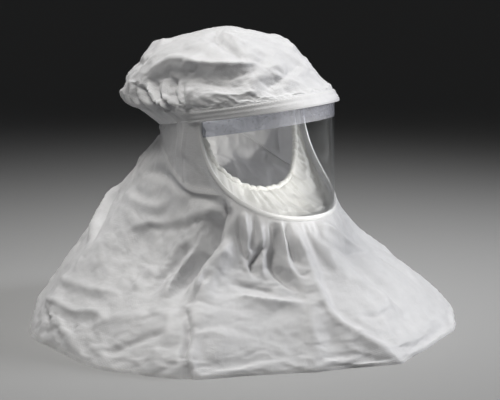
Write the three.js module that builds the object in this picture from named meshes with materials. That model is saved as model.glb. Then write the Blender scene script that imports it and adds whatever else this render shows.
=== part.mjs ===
// A disposable protective hood: a puffed crown over a brim, a clear curved visor, a soft face seal
// behind it, a yoke round the neck and a wide shroud that stands on its hem.
// Millimetres, +Z up. The face looks along -Y and the hem lies in the plane Z = 0.
// Angles called turns run from the nose, positive towards the wearer's left.
import * as THREE from 'three';

// Heights.
const chinHeight = 158; // hem to the lower end of the visor window
const windowHeight = 154; // chin to the crown's edge at the forehead
const templeDrop = 21; // how much lower the crown's edge is at the temples
const napeDrop = 46; // how much lower it is at the nape
const crownHeight = 90; // crown's edge at the forehead to the top of the crown
const jawRise = 38; // chin to the shroud's upper edge under the ears
const yokeBand = 9; // height of the yoke where it passes round the nape

// The upright wall round face and neck, which visor, yoke, crown and shroud all meet.
const faceWidth = 224; // temple to temple
const faceReach = 118; // temples to the front of the visor
const napeReach = 124; // temples to the nape

// The puffed crown, whose two halves are measured from the middle of its widest ring.
const crownSideFullness = 3; // how much wider each side is than the wall below
const crownFrontFullness = 4; // how much longer the front half is
const crownBackFullness = 48; // how much longer the back half is, over the nape
const crownFlare = 18; // rise over which the crown turns outwards at the nape
const crownSquareness = 2.15; // 2 is an ellipse, more is squarer
const pleatDepth = 7; // of the gathers above the nape and behind the ears

// The shroud.
const hemWidth = 600; // shoulder to shoulder
const hemFront = 275; // temples to the hem on the chest
const hemBack = 292; // temples to the hem on the back
const foldDepth = 15; // of the deepest fold
const foldWidth = 26; // half width of a plain fold

// Walls and clearances.
const clothWall = 1.8; // coated nonwoven cloth
const sealWall = 1.4; // soft cloth of the face seal
const visorWall = 1; // clear sheet
const stripWall = 0.8; // frosted sheet of the brow strip
const seamGap = 0.35; // clearance wherever two pieces meet

// Window, visor and the tape round them.
const windowTurn = 90; // degrees from the nose to each side of the window
const windowRise = 8; // temples to the height at which the window's sides are upright
const windowSquareness = 2.35; // 2 is an ellipse, more is squarer
const visorLap = 4; // how far the visor runs under the cloth round its window
const bindingWidth = 6;
const bindingProud = 0.4; // how far the tape stands out of the cloth
const stripDrop = 24; // how far the brow strip shows below the crown's edge
const stripTurn = 80; // degrees from the nose to each end of the brow strip

// Band round the front of the crown's edge.
const brimHeight = 13;
const brimDrop = 3; // how far it hangs below the crown's edge
const brimWall = 2.2;
const brimTurn = 97; // degrees from the nose to each end

// Face seal, a funnel of soft cloth from the window to an elastic round the face.
const sealLap = 1.5; // how far its outer edge runs under the cloth round the window
const sealMargin = 30; // window to face opening, at each temple
const sealChinMargin = 34; // window to face opening, at the chin
const sealTopDrop = 5; // temples to the upper ends of the face opening
const sealSetback = 76; // front of the visor to the lowest point of the face opening
const sealLean = 4; // how far the upper ends lie behind the temples
const sealSquareness = 2.4;
const sealSlack = 7; // how far the funnel bellies forward
const elasticDiameter = 4.4;

// Mesh densities: columns run round the hood, rows run up and down it.
const crownGrid = { columns: 72, rows: 12 };
const shroudGrid = { frontColumns: 28, backColumns: 44, rows: 13 };
const windowSideSteps = 7;
const visorRows = 2;
const sealRows = 4;
const brimColumns = 34;
const stripColumns = 20;
const elasticSides = 6;

// Rings of the puffed crown above the brim, from the lowest up. Rises are shares of the height left
// above the brim, at the front, the sides and the back. Middle is how far the ring's middle lies behind
// the temples, as a share of the crown's back half. Front, back and side are shares of the halves'
// lengths and of half the width.
const crownRings = [
  { riseFront: 0.09, riseSide: 0.11, riseBack: 0.147, middle: 0.116, front: 0.984, back: 1, side: 1 },
  { riseFront: 0.235, riseSide: 0.265, riseBack: 0.274, middle: 0.198, front: 1, back: 0.919, side: 0.991 },
  { riseFront: 0.39, riseSide: 0.42, riseBack: 0.424, middle: 0.238, front: 0.967, back: 0.826, side: 0.957 },
  { riseFront: 0.55, riseSide: 0.58, riseBack: 0.585, middle: 0.244, front: 0.852, back: 0.727, side: 0.887 },
  { riseFront: 0.71, riseSide: 0.735, riseBack: 0.746, middle: 0.244, front: 0.705, back: 0.616, side: 0.783 },
  { riseFront: 0.84, riseSide: 0.855, riseBack: 0.862, middle: 0.233, front: 0.508, back: 0.419, side: 0.591 },
  { riseFront: 0.93, riseSide: 0.94, riseBack: 0.942, middle: 0.221, front: 0.311, back: 0.233, side: 0.365 },
  { riseFront: 0.985, riseSide: 0.985, riseBack: 0.983, middle: 0.221, front: 0.148, back: 0.105, side: 0.174 },
  { riseFront: 1, riseSide: 1, riseBack: 1, middle: 0.221, front: 0, back: 0, side: 0 },
];

// Slope of the shroud from its upper edge down to the hem. Spread is the share of the way out to the
// hem, and the falls are the shares of the way down, at the chest, the shoulders and the back.
const shroudSlope = [
  { spread: 0, fallFront: 0, fallSide: 0, fallBack: 0 },
  { spread: 0.14, fallFront: 0.23, fallSide: 0.27, fallBack: 0.05 },
  { spread: 0.28, fallFront: 0.35, fallSide: 0.41, fallBack: 0.13 },
  { spread: 0.42, fallFront: 0.44, fallSide: 0.5, fallBack: 0.25 },
  { spread: 0.56, fallFront: 0.54, fallSide: 0.58, fallBack: 0.385 },
  { spread: 0.7, fallFront: 0.65, fallSide: 0.67, fallBack: 0.54 },
  { spread: 0.84, fallFront: 0.78, fallSide: 0.78, fallBack: 0.7 },
  { spread: 0.94, fallFront: 0.875, fallSide: 0.88, fallBack: 0.84 },
  { spread: 1, fallFront: 1, fallSide: 1, fallBack: 1 },
];

// Corners of the hem, in order of their turn in degrees. Reach is a share of the plain oval of
// hemWidth, hemFront and hemBack. The hem runs nearly straight from corner to corner.
const hemCorners = [
  { turn: -152, reach: 1 },
  { turn: -128, reach: 1.03 },
  { turn: -93, reach: 0.985 },
  { turn: -67, reach: 0.95 },
  { turn: -50, reach: 0.865 },
  { turn: -31, reach: 0.89 },
  { turn: -8, reach: 1 },
  { turn: 10, reach: 0.965 },
  { turn: 30, reach: 1 },
  { turn: 56, reach: 1.03 },
  { turn: 90, reach: 1 },
  { turn: 118, reach: 0.97 },
  { turn: 150, reach: 1.01 },
  { turn: 178, reach: 1 },
];
const hemSoftness = 5; // degrees by which each corner is rounded

// Folds, each along a line from one place to another. Turns are in degrees. Shares run down the shroud
// from its upper edge, and up the crown from its lower edge. Bow is how far the middle of the line bends
// aside and width the fold's half width, both as shares of foldWidth. Depth is a share of foldDepth,
// outwards where positive.
const shroudFolds = [
  { fromTurn: -67, fromShare: 0.05, toTurn: -77, toShare: 0.56, bow: -0.7, width: 0.95, depth: -1.2 },
  { fromTurn: -66, fromShare: 0.12, toTurn: -73, toShare: 0.52, bow: -0.2, width: 0.6, depth: 0.55 },
  { fromTurn: -84, fromShare: 0.14, toTurn: -86, toShare: 0.54, bow: -0.2, width: 0.7, depth: 0.6 },
  { fromTurn: -89, fromShare: 0.14, toTurn: -95, toShare: 0.54, bow: -0.1, width: 0.7, depth: -0.5 },
  { fromTurn: -76, fromShare: 0.48, toTurn: -68, toShare: 1.12, bow: 0.2, width: 0.9, depth: -0.7 },
  { fromTurn: -124, fromShare: 0.28, toTurn: -70, toShare: 0.08, bow: 0.8, width: 0.8, depth: 0.7 },
  { fromTurn: -138, fromShare: 0.14, toTurn: -80, toShare: 0.05, bow: 0, width: 0.8, depth: -0.5 },
  { fromTurn: -158, fromShare: 0.38, toTurn: -134, toShare: 0.53, bow: 0, width: 0.8, depth: 0.6 },
  { fromTurn: -138, fromShare: 0.7, toTurn: -98, toShare: 0.54, bow: 0, width: 0.85, depth: 0.5 },
  { fromTurn: -138, fromShare: 0.82, toTurn: -94, toShare: 0.7, bow: -0.2, width: 0.85, depth: 0.6 },
  { fromTurn: -52, fromShare: 0.02, toTurn: -51, toShare: 0.36, bow: -0.2, width: 0.5, depth: -0.55 },
  { fromTurn: -39, fromShare: 0.02, toTurn: -31, toShare: 0.46, bow: -0.4, width: 0.7, depth: -0.8 },
  { fromTurn: -28, fromShare: 0.03, toTurn: -23, toShare: 0.64, bow: 0.2, width: 0.8, depth: 0.6 },
  { fromTurn: -23, fromShare: 0.52, toTurn: -7, toShare: 1.12, bow: -0.2, width: 0.9, depth: 0.7 },
  { fromTurn: -30, fromShare: 0.45, toTurn: -37, toShare: 1.12, bow: 0, width: 0.9, depth: -0.5 },
  { fromTurn: -56, fromShare: 0.43, toTurn: -30, toShare: 0.5, bow: 0, width: 0.8, depth: 0.25 },
  { fromTurn: -6, fromShare: 0.05, toTurn: 34, toShare: 0.26, bow: 0.2, width: 0.7, depth: 0.35 },
  { fromTurn: 14, fromShare: 0.12, toTurn: 10, toShare: 0.8, bow: 0.3, width: 0.9, depth: -0.45 },
  { fromTurn: 46, fromShare: 0.04, toTurn: 40, toShare: 0.6, bow: 0.3, width: 0.8, depth: -0.7 },
  { fromTurn: 60, fromShare: 0.08, toTurn: 66, toShare: 0.62, bow: 0.2, width: 0.8, depth: 0.55 },
  { fromTurn: 76, fromShare: 0.06, toTurn: 82, toShare: 0.6, bow: 0.5, width: 0.95, depth: -0.9 },
  { fromTurn: 70, fromShare: 0.5, toTurn: 60, toShare: 1.12, bow: 0, width: 0.9, depth: -0.5 },
  { fromTurn: 124, fromShare: 0.28, toTurn: 76, toShare: 0.08, bow: -0.7, width: 0.8, depth: 0.5 },
  { fromTurn: 140, fromShare: 0.76, toTurn: 98, toShare: 0.6, bow: 0, width: 0.9, depth: 0.6 },
  { fromTurn: 118, fromShare: 0.3, toTurn: 112, toShare: 0.95, bow: 0.3, width: 0.9, depth: -0.5 },
  { fromTurn: 158, fromShare: 0.25, toTurn: 148, toShare: 1.12, bow: 0.2, width: 1, depth: -0.7 },
  { fromTurn: -178, fromShare: 0.2, toTurn: 178, toShare: 0.9, bow: 0.2, width: 1, depth: 0.5 },
  { fromTurn: -166, fromShare: 0.3, toTurn: -156, toShare: 1.12, bow: -0.2, width: 1, depth: -0.6 },
];
const crownFolds = [
  { fromTurn: -92, fromShare: 0.78, toTurn: -38, toShare: 0.48, bow: 0.3, width: 0.7, depth: -0.4 },
  { fromTurn: -74, fromShare: 0.36, toTurn: -40, toShare: 0.31, bow: 0.1, width: 0.5, depth: -0.25 },
  { fromTurn: -114, fromShare: 0.44, toTurn: -56, toShare: 0.54, bow: 0.2, width: 0.7, depth: 0.35 },
  { fromTurn: 12, fromShare: 0.48, toTurn: -36, toShare: 0.24, bow: 0.2, width: 0.6, depth: -0.3 },
  { fromTurn: 30, fromShare: 0.3, toTurn: 62, toShare: 0.62, bow: 0.2, width: 0.7, depth: -0.35 },
  { fromTurn: 80, fromShare: 0.4, toTurn: 120, toShare: 0.78, bow: -0.2, width: 0.7, depth: -0.35 },
  { fromTurn: -140, fromShare: 0.45, toTurn: 170, toShare: 0.72, bow: 0.2, width: 0.8, depth: -0.35 },
];

const radians = THREE.MathUtils.degToRad;
const mix = THREE.MathUtils.lerp;
const clamp = THREE.MathUtils.clamp;
const fullTurn = 2 * Math.PI;
const browHeight = chinHeight + windowHeight;
const templeHeight = browHeight - templeDrop;
const napeHeight = browHeight - napeDrop;
const jawHeight = chinHeight + jawRise;
const hoodHeight = browHeight + crownHeight;
const crownSide = faceWidth / 2 + crownSideFullness;
const crownFront = faceReach + crownFrontFullness;
const crownBack = napeReach + crownBackFullness;
const brimRise = brimHeight - brimDrop;

function smooth(x) {
  const t = clamp(x, 0, 1);
  return t * t * (3 - 2 * t);
}

function wrapTurn(turn) {
  return THREE.MathUtils.euclideanModulo(turn + Math.PI, fullTurn) - Math.PI;
}

function spaced(from, to, steps) {
  return Array.from({ length: steps + 1 }, (_, i) => mix(from, to, i / steps));
}

// Where a rising function passes through zero, by halving.
function solve(f, from, to) {
  let [low, high] = [from, to];
  for (let i = 0; i < 40; i += 1) {
    const middle = (low + high) / 2;
    if (f(middle) < 0) low = middle;
    else high = middle;
  }
  return (low + high) / 2;
}

// The smooth curve through evenly spaced values, at a share of the way along them.
function through(values, share) {
  const last = values.length - 1;
  const place = clamp(share, 0, 1) * last;
  const i = Math.min(Math.floor(place), last - 1);
  const [a, b, c, d] = [i - 1, i, i + 1, i + 2].map((k) => values[clamp(k, 0, last)]);
  const f = place - i;
  const bend = 2 * a - 5 * b + 4 * c - d;
  const twist = 3 * b - a - 3 * c + d;
  return b + 0.5 * f * (c - a + f * (bend + f * twist));
}

// A value given at the front, the sides and the back, at any turn.
function around(turn, front, side, back) {
  const c = Math.cos(turn);
  return side + ((c > 0 ? front : back) - side) * c * c;
}

// An oval seen from above, with its own reach to each side, to the front and to the back.
function oval(turn, side, front, back, middle, square) {
  const s = Math.sin(turn);
  const c = Math.cos(turn);
  const x = side * Math.sign(s) * Math.abs(s) ** (2 / square);
  const y = (c > 0 ? front : back) * Math.sign(c) * Math.abs(c) ** (2 / square);
  return new THREE.Vector2(x, middle - y);
}

// The wall round face and neck, at a turn and a height, and moved outwards by an offset.
function wallPoint(turn, height, offset = 0) {
  const reach = Math.cos(turn) > 0 ? faceReach : napeReach;
  const place = oval(turn, faceWidth / 2, faceReach, napeReach, 0, 2);
  const outwards = new THREE.Vector2(Math.sin(turn) * reach, (-Math.cos(turn) * faceWidth) / 2).normalize();
  place.addScaledVector(outwards, offset);
  return new THREE.Vector3(place.x, place.y, height);
}

function crownEdge(turn) {
  const c = Math.cos(turn);
  return templeHeight + (c > 0 ? browHeight - templeHeight : templeHeight - napeHeight) * c;
}

function collarEdge(turn) {
  return mix(jawHeight, napeHeight - yokeBand, smooth(-Math.cos(turn)));
}

// The window's outline as an angle about the window's own middle, 0 at the chin and a quarter turn where
// a side is upright. Grow moves the outline outwards.
function windowPoint(angle, grow) {
  const power = 2 / windowSquareness;
  const s = Math.sin(angle);
  const top = templeHeight + windowRise;
  const reach = radians(windowTurn) + grow / faceReach;
  return {
    turn: reach * Math.sign(s) * Math.abs(s) ** power,
    height: top - Math.abs(Math.cos(angle)) ** power * (top - chinHeight + grow),
  };
}

function windowAngle(grow, limit) {
  const above = (angle) => {
    const point = windowPoint(angle, grow);
    return point.height - limit(point.turn);
  };
  return solve(above, 0, Math.PI / 2);
}
const jawAngle = windowAngle(0, collarEdge);

// Angles of the outline from the crown's edge down one side, along the chin and up the other side. All
// that follows the window uses them, so that the pieces' facets lie side by side.
function windowAngles(grow, below) {
  const topAngle = windowAngle(grow, (turn) => crownEdge(turn) - below);
  const side = spaced(jawAngle, topAngle, windowSideSteps);
  const chin = spaced(-jawAngle, jawAngle, shroudGrid.frontColumns);
  return [...side.map((angle) => -angle).reverse(), ...chin.slice(1, -1), ...side];
}

function windowPath(grow, below) {
  return windowAngles(grow, below).map((angle) => windowPoint(angle, grow));
}

// Distance from the temples' middle to the hem, straight from corner to corner.
function hemChord(turn) {
  const corners = hemCorners.map((corner) => {
    const angle = radians(corner.turn);
    const reach = Math.cos(angle) > 0 ? hemFront : hemBack;
    const plainReach = 1 / Math.hypot((2 * Math.sin(angle)) / hemWidth, Math.cos(angle) / reach);
    return { angle, reach: plainReach * corner.reach };
  });
  const next = corners.findIndex((corner) => corner.angle > turn);
  const b = corners[next < 0 ? 0 : next];
  const a = corners[next <= 0 ? corners.length - 1 : next - 1];
  const across = Math.sin(wrapTurn(b.angle - a.angle));
  const fromA = Math.sin(wrapTurn(turn - a.angle));
  const toB = Math.sin(wrapTurn(b.angle - turn));
  return (a.reach * b.reach * across) / (a.reach * fromA + b.reach * toB);
}

function hemPoint(turn) {
  const steps = spaced(-radians(hemSoftness), radians(hemSoftness), 4);
  const samples = steps.map((step) => hemChord(wrapTurn(turn + step)));
  const reach = samples.reduce((sum, value) => sum + value, 0) / samples.length;
  return new THREE.Vector2(reach * Math.sin(turn), -reach * Math.cos(turn));
}

// Depth of the folds at one place of a cloth that is taken as unrolled: across is its radius there, and
// length runs from share 0 to share 1.
function foldRelief(folds, turn, share, across, length) {
  let relief = 0;
  for (const fold of folds) {
    const startTurn = radians(fold.fromTurn);
    const start = new THREE.Vector2(0, fold.fromShare * length);
    const endTurn = wrapTurn(radians(fold.toTurn) - startTurn);
    const line = new THREE.Vector2(endTurn * across, fold.toShare * length).sub(start);
    const here = new THREE.Vector2(wrapTurn(turn - startTurn) * across, share * length).sub(start);
    const along = here.dot(line) / line.lengthSq();
    if (along <= 0 || along >= 1) continue;
    const bow = fold.bow * foldWidth * 4 * along * (1 - along);
    const aside = (here.x * line.y - here.y * line.x) / line.length() - bow;
    const profile = smooth(1 - Math.abs(aside) / (fold.width * foldWidth));
    const ends = smooth(4 * Math.min(along, 1 - along));
    relief += fold.depth * foldDepth * profile * ends;
  }
  return relief;
}

// Direction out of a surface that is given as a function of turn and share.
function outwards(surface, turn, share) {
  const step = 0.01;
  const right = surface(turn + step, share).sub(surface(turn - step, share));
  const up = surface(turn, Math.min(share + step, 1)).sub(surface(turn, Math.max(share - step, 0)));
  return right.cross(up).normalize();
}

// Share of the way up the crown at which its brim ends.
const brimShare = 1 / (crownRings.length + 1);

function crownPlain(turn, share) {
  const edge = crownEdge(turn);
  const brimTop = edge + around(turn, brimRise, brimRise, crownFlare);
  const heights = crownRings.map((ring) => {
    return mix(brimTop, hoodHeight, around(turn, ring.riseFront, ring.riseSide, ring.riseBack));
  });
  const edgeRing = {
    middle: 0,
    front: faceReach / crownFront,
    back: napeReach / crownBack,
    side: faceWidth / 2 / crownSide,
  };
  const brimRing = { middle: 0.047, front: 0.951, back: 0.849, side: 0.991 };
  const rings = [edgeRing, brimRing, ...crownRings];
  const size = (name) => through(rings.map((ring) => ring[name]), share);
  const middle = size('middle') * crownBack;
  const front = size('front') * crownFront;
  const back = size('back') * crownBack;
  const square = mix(2, crownSquareness, smooth(share / (2 * brimShare)));
  const place = oval(turn, size('side') * crownSide, front, back, middle, square);
  return new THREE.Vector3(place.x, place.y, through([edge, brimTop, ...heights], share));
}

// Gathers: columns stand in and out by turns, behind the ears and round the nape.
function crownPleat(turn, share, column) {
  const behind = smooth((Math.abs(turn) - radians(78)) / radians(24));
  const above = smooth((share - brimShare) / brimShare) * smooth((0.62 - share) / 0.36);
  const uneven = 0.7 + 0.3 * Math.sin(5 * turn + 1);
  const side = column % 2 === 0 ? 1 : -1;
  return side * (pleatDepth / 2) * behind * above * uneven;
}

function crownPoint(turn, share, column) {
  const place = crownPlain(turn, share);
  const clearOfBrim = smooth((share - brimShare) / brimShare);
  const folds = foldRelief(crownFolds, turn, share, crownSide, crownHeight + crownSide) * clearOfBrim;
  const relief = folds + crownPleat(turn, share, column);
  if (relief === 0) return place;
  return place.addScaledVector(outwards(crownPlain, turn, share), relief);
}

// Height of the shroud's upper edge: the window's outline in front, the yoke's lower edge elsewhere.
function shroudEdge(turn) {
  const share = Math.abs(wrapTurn(turn)) / radians(windowTurn);
  if (share >= 1) return collarEdge(turn) - seamGap;
  const top = templeHeight + windowRise;
  const drop = (1 - share ** windowSquareness) ** (1 / windowSquareness);
  return Math.min(top - (top - chinHeight) * drop, collarEdge(turn) - seamGap);
}

// The plain shroud, with its share running up from the hem as a crown's does.
function shroudPlain(turn, share) {
  const down = 1 - share;
  const size = (name) => through(shroudSlope.map((row) => row[name]), down);
  const top = wallPoint(turn, shroudEdge(turn));
  const hem = hemPoint(turn);
  const spread = size('spread');
  const fall = around(turn, size('fallFront'), size('fallSide'), size('fallBack'));
  return new THREE.Vector3(mix(top.x, hem.x, spread), mix(top.y, hem.y, spread), top.z * (1 - fall));
}

function shroudPoint(turn, share) {
  const place = shroudPlain(turn, share);
  const radius = Math.hypot(place.x, place.y);
  const slope = Math.hypot(hemWidth / 2 - faceWidth / 2, jawHeight);
  const relief = foldRelief(shroudFolds, turn, 1 - share, radius, slope) * smooth((1 - share) / 0.07);
  if (relief === 0) return place;
  const direction = outwards(shroudPlain, turn, share);
  direction.z *= smooth(share / 0.25);
  return place.addScaledVector(direction, relief);
}

// Rows of points moved square to their surface, outwards where the distance is positive. A row with a
// stretch moves in its own level plane instead, so that its edge is cut level, and up to that many times
// as far, to keep the wall's thickness on a slope.
function offsetRows(rows, distance, { ring = false, stretches = {} } = {}) {
  const lastRow = rows.length - 1;
  const columns = rows[0].length;
  const neighbour = (j) => (ring ? (j + columns) % columns : clamp(j, 0, columns - 1));
  return rows.map((row, i) => row.map((point, j) => {
    const right = row[neighbour(j + 1)].clone().sub(row[neighbour(j - 1)]);
    const up = rows[Math.min(i + 1, lastRow)][j].clone().sub(rows[Math.max(i - 1, 0)][j]);
    const normal = right.cross(up);
    if (normal.lengthSq() === 0) normal.set(0, 0, 1);
    normal.normalize();
    if (i in stretches) {
      const flat = new THREE.Vector3(normal.x, normal.y, 0);
      const stretch = Math.min(1 / flat.length(), stretches[i]);
      return point.clone().addScaledVector(flat.normalize(), distance * stretch);
    }
    return point.clone().addScaledVector(normal, distance);
  }));
}

// A solid from its corner points and the faces between them, given as lists of corners.
function solid(points, faces) {
  const positions = points.flatMap((point) => point.toArray());
  const index = [];
  for (const face of faces) {
    const corners = face.filter((corner, k) => corner !== face[(k + 1) % face.length]);
    for (let k = 1; k + 1 < corners.length; k += 1) index.push(corners[0], corners[k], corners[k + 1]);
  }
  const geometry = new THREE.BufferGeometry();
  geometry.setAttribute('position', new THREE.Float32BufferAttribute(positions, 3));
  geometry.setIndex(index);
  geometry.computeVertexNormals();
  return geometry;
}

// A wall between an outer and an inner sheet. Rows run upwards and columns towards the wearer's left,
// seen from outside. A ring closes on itself, and a pole is a last row that is one point.
function wall(outer, inner, { ring = false, pole = false } = {}) {
  const rows = outer.length;
  const columns = outer[0].length;
  const count = rows * columns;
  const points = [...outer.flat(), ...inner.flat()];
  const at = (sheet, i, j) => {
    const column = pole && i === rows - 1 ? 0 : j % columns;
    return sheet * count + i * columns + column;
  };
  const faces = [];
  const spans = ring ? columns : columns - 1;
  for (let j = 0; j < spans; j += 1) {
    for (let i = 0; i + 1 < rows; i += 1) {
      faces.push([at(0, i, j), at(0, i, j + 1), at(0, i + 1, j + 1), at(0, i + 1, j)]);
      faces.push([at(1, i, j + 1), at(1, i, j), at(1, i + 1, j), at(1, i + 1, j + 1)]);
    }
    faces.push([at(0, 0, j + 1), at(0, 0, j), at(1, 0, j), at(1, 0, j + 1)]);
    const top = rows - 1;
    if (!pole) faces.push([at(0, top, j), at(0, top, j + 1), at(1, top, j + 1), at(1, top, j)]);
  }
  if (!ring) {
    const end = columns - 1;
    for (let i = 0; i + 1 < rows; i += 1) {
      faces.push([at(0, i, 0), at(0, i + 1, 0), at(1, i + 1, 0), at(1, i, 0)]);
      faces.push([at(0, i, end), at(1, i, end), at(1, i + 1, end), at(0, i + 1, end)]);
    }
  }
  return solid(points, faces);
}

// A round cord through points, with a direction square to its run at each of them.
function cord(centres, directions, radius, sides) {
  const last = centres.length - 1;
  const points = centres.flatMap((centre, i) => {
    const run = centres[Math.min(i + 1, last)].clone().sub(centres[Math.max(i - 1, 0)]).normalize();
    const first = directions[i].clone().addScaledVector(run, -directions[i].dot(run)).normalize();
    const second = run.clone().cross(first);
    return Array.from({ length: sides }, (_, k) => {
      const angle = ((k + 0.5) / sides) * fullTurn;
      const reach = first.clone().multiplyScalar(Math.cos(angle)).addScaledVector(second, Math.sin(angle));
      return centre.clone().addScaledVector(reach, radius);
    });
  });
  const faces = [];
  for (let i = 0; i < last; i += 1) {
    for (let k = 0; k < sides; k += 1) {
      const next = (k + 1) % sides;
      faces.push([i * sides + k, i * sides + next, (i + 1) * sides + next, (i + 1) * sides + k]);
    }
  }
  const cap = Array.from({ length: sides }, (_, k) => k);
  faces.push([...cap].reverse(), cap.map((k) => last * sides + k));
  return solid(points, faces);
}

const hood = new THREE.Group();

function addPiece(name, geometry, look) {
  const piece = new THREE.Mesh(geometry, new THREE.MeshStandardMaterial({ metalness: 0, ...look }));
  piece.name = name;
  hood.add(piece);
  return piece;
}
const coatedCloth = { color: 0xe9ecee, roughness: 0.62 };
const softCloth = { color: 0xf3f4f4, roughness: 0.85 };
const tape = { color: 0xf1f3f4, roughness: 0.5 };
const clearSheet = { color: 0xf4f8fa, roughness: 0.06, transparent: true, opacity: 0.18 };
const frostedSheet = { color: 0x9fa6c0, roughness: 0.35, transparent: true, opacity: 0.45 };

// Crown, from its lower edge up to its top.
const crownTurns = spaced(-Math.PI, Math.PI, crownGrid.columns).slice(0, -1);
const crownShares = [0, ...spaced(brimShare, 1, crownGrid.rows - 1)];
const crownRows = crownShares.map((share) => crownTurns.map((turn, j) => crownPoint(turn, share, j)));
const crownInside = offsetRows(crownRows, -clothWall, { ring: true, stretches: { 0: 2 } });
addPiece('crown', wall(crownRows, crownInside, { ring: true, pole: true }), coatedCloth);

// Brim, over the crown's lower edge and what hangs from it.
const brimTurns = spaced(-radians(brimTurn), radians(brimTurn), brimColumns);
const brimClear = bindingProud + seamGap;
const brimInside = [
  brimTurns.map((turn) => wallPoint(turn, crownEdge(turn) - brimDrop, brimClear)),
  brimTurns.map((turn) => wallPoint(turn, crownEdge(turn), brimClear)),
  brimTurns.map((turn) => {
    const direction = outwards(crownPlain, turn, brimShare);
    return crownPlain(turn, brimShare).addScaledVector(direction, seamGap);
  }),
];
addPiece('brim_band', wall(offsetRows(brimInside, brimWall, { stretches: { 0: 1 } }), brimInside), coatedCloth);

// Shroud, from its hem up to the window and the yoke.
const chinAngles = spaced(-jawAngle, jawAngle, shroudGrid.frontColumns);
const chinTurns = chinAngles.map((angle) => windowPoint(angle, 0).turn);
const jawTurn = windowPoint(jawAngle, 0).turn;
const backTurns = spaced(jawTurn, fullTurn - jawTurn, shroudGrid.backColumns);
const shroudTurns = [...chinTurns, ...backTurns.slice(1, -1)];
const shroudShares = spaced(0, 1, shroudGrid.rows);
const shroudRows = shroudShares.map((share) => shroudTurns.map((turn) => shroudPoint(turn, share)));
const shroudStretches = { 0: 2, [shroudGrid.rows]: 1 };
const shroudInside = offsetRows(shroudRows, -clothWall, { ring: true, stretches: shroudStretches });
addPiece('shroud', wall(shroudRows, shroudInside, { ring: true }), coatedCloth);

// Yoke, from one side of the window round the nape to the other. Its front edges follow the window's
// outline, and its rows level out behind them.
const yokeTopAngle = windowAngle(0, (turn) => crownEdge(turn) - seamGap);
const yokeFrontAngles = spaced(jawAngle, yokeTopAngle, windowSideSteps);
const yokeRows = (offset) => yokeFrontAngles.map((angle, i) => {
  const share = i / windowSideSteps;
  const front = windowPoint(angle, 0);
  const turns = spaced(front.turn, fullTurn - front.turn, shroudGrid.backColumns);
  const level = (turn) => mix(collarEdge(turn), crownEdge(turn) - seamGap, share);
  const lift = front.height - level(front.turn);
  return turns.map((turn, j) => {
    const fade = 1 - smooth((4 * Math.min(j, shroudGrid.backColumns - j)) / shroudGrid.backColumns);
    return wallPoint(turn, level(turn) + lift * fade, offset);
  });
});
addPiece('neck_yoke', wall(yokeRows(0), yokeRows(-clothWall)), coatedCloth);

// Visor, a sheet bent round the face inside the wall.
const visorSet = -(clothWall + seamGap);
const visorEdge = windowPath(visorLap, seamGap + visorLap);
const visorRowsAt = (offset) => spaced(0, 1, visorRows).map((share) => visorEdge.map((point) => {
  return wallPoint(point.turn, mix(point.height, crownEdge(point.turn) - seamGap, share), offset);
}));
addPiece('visor', wall(visorRowsAt(visorSet), visorRowsAt(visorSet - visorWall)), clearSheet);

// Tape round the window, from the cloth's edge over the visor.
const bindingEdges = [-seamGap, -seamGap - bindingWidth].map((grow) => windowPath(grow, seamGap));
const bindingRows = (offset) => bindingEdges.map((edge) => {
  return edge.map((point) => wallPoint(point.turn, point.height, offset));
});
addPiece('visor_binding', wall(bindingRows(bindingProud), bindingRows(-clothWall)), tape);

// Brow strip, behind the top of the visor.
const stripSet = visorSet - visorWall - seamGap;
const stripTurns = spaced(-radians(stripTurn), radians(stripTurn), stripColumns);
const stripRows = (offset) => [stripDrop, seamGap].map((drop) => {
  return stripTurns.map((turn) => wallPoint(turn, crownEdge(turn) - drop, offset));
});
addPiece('brow_strip', wall(stripRows(stripSet), stripRows(stripSet - stripWall)), frostedSheet);

// Face seal, from behind the visor's edge back to the face opening.
const sealAngles = windowAngles(sealLap, seamGap + visorLap);
const sealEndAngle = sealAngles.at(-1);
const sealTop = templeHeight - sealTopDrop;
const sealBottom = chinHeight + sealChinMargin;
function sealRim(angle) {
  const power = 2 / sealSquareness;
  const s = Math.sin(angle);
  const down = Math.abs(Math.cos(angle)) ** power;
  const x = (faceWidth / 2 - sealMargin) * Math.sign(s) * Math.abs(s) ** power;
  const forward = (faceReach - sealSetback + sealLean) * down ** 2.6 - sealLean;
  return new THREE.Vector3(x, -forward, mix(sealTop, sealBottom, down));
}
const sealRowsAt = spaced(0, 1, sealRows).map((share) => sealAngles.map((angle) => {
  const edge = windowPoint(angle, sealLap);
  const outer = wallPoint(edge.turn, edge.height, stripSet);
  const rim = sealRim((angle / sealEndAngle) * (Math.PI / 2));
  const belly = 4 * share * (1 - share) * sealSlack;
  return outer.lerp(rim, share).add(new THREE.Vector3(0, -belly / 2, -belly));
}));
addPiece('face_seal', wall(sealRowsAt, offsetRows(sealRowsAt, -sealWall)), softCloth);

// Elastic round the face opening, along the seal's inner edge.
const rimRow = sealRowsAt[sealRows];
const rimDirections = rimRow.map((point, j) => point.clone().sub(sealRowsAt[sealRows - 1][j]).normalize());
const elasticSeat = elasticDiameter / 2 + seamGap;
const elasticCentres = rimRow.map((point, j) => point.clone().addScaledVector(rimDirections[j], elasticSeat));
addPiece('seal_elastic', cord(elasticCentres, rimDirections, elasticDiameter / 2, elasticSides), softCloth);

// The origin lies under the middle of the hem's box.
const hemBox = new THREE.Box3().setFromPoints(shroudRows[0]);
const hemMiddle = hemBox.getCenter(new THREE.Vector3());
hood.position.set(-hemMiddle.x, -hemMiddle.y, 0);

export default hood;
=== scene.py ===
# Disposable protective hood: a puffed crown over a brim, a clear visor with a soft face seal behind it,
# a yoke round the neck and a wide shroud that stands by itself.
# Sizes are in millimetres and become metres when a mesh is made. Turns run from the nose, in degrees,
# positive towards the wearer's left.
import math

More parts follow.
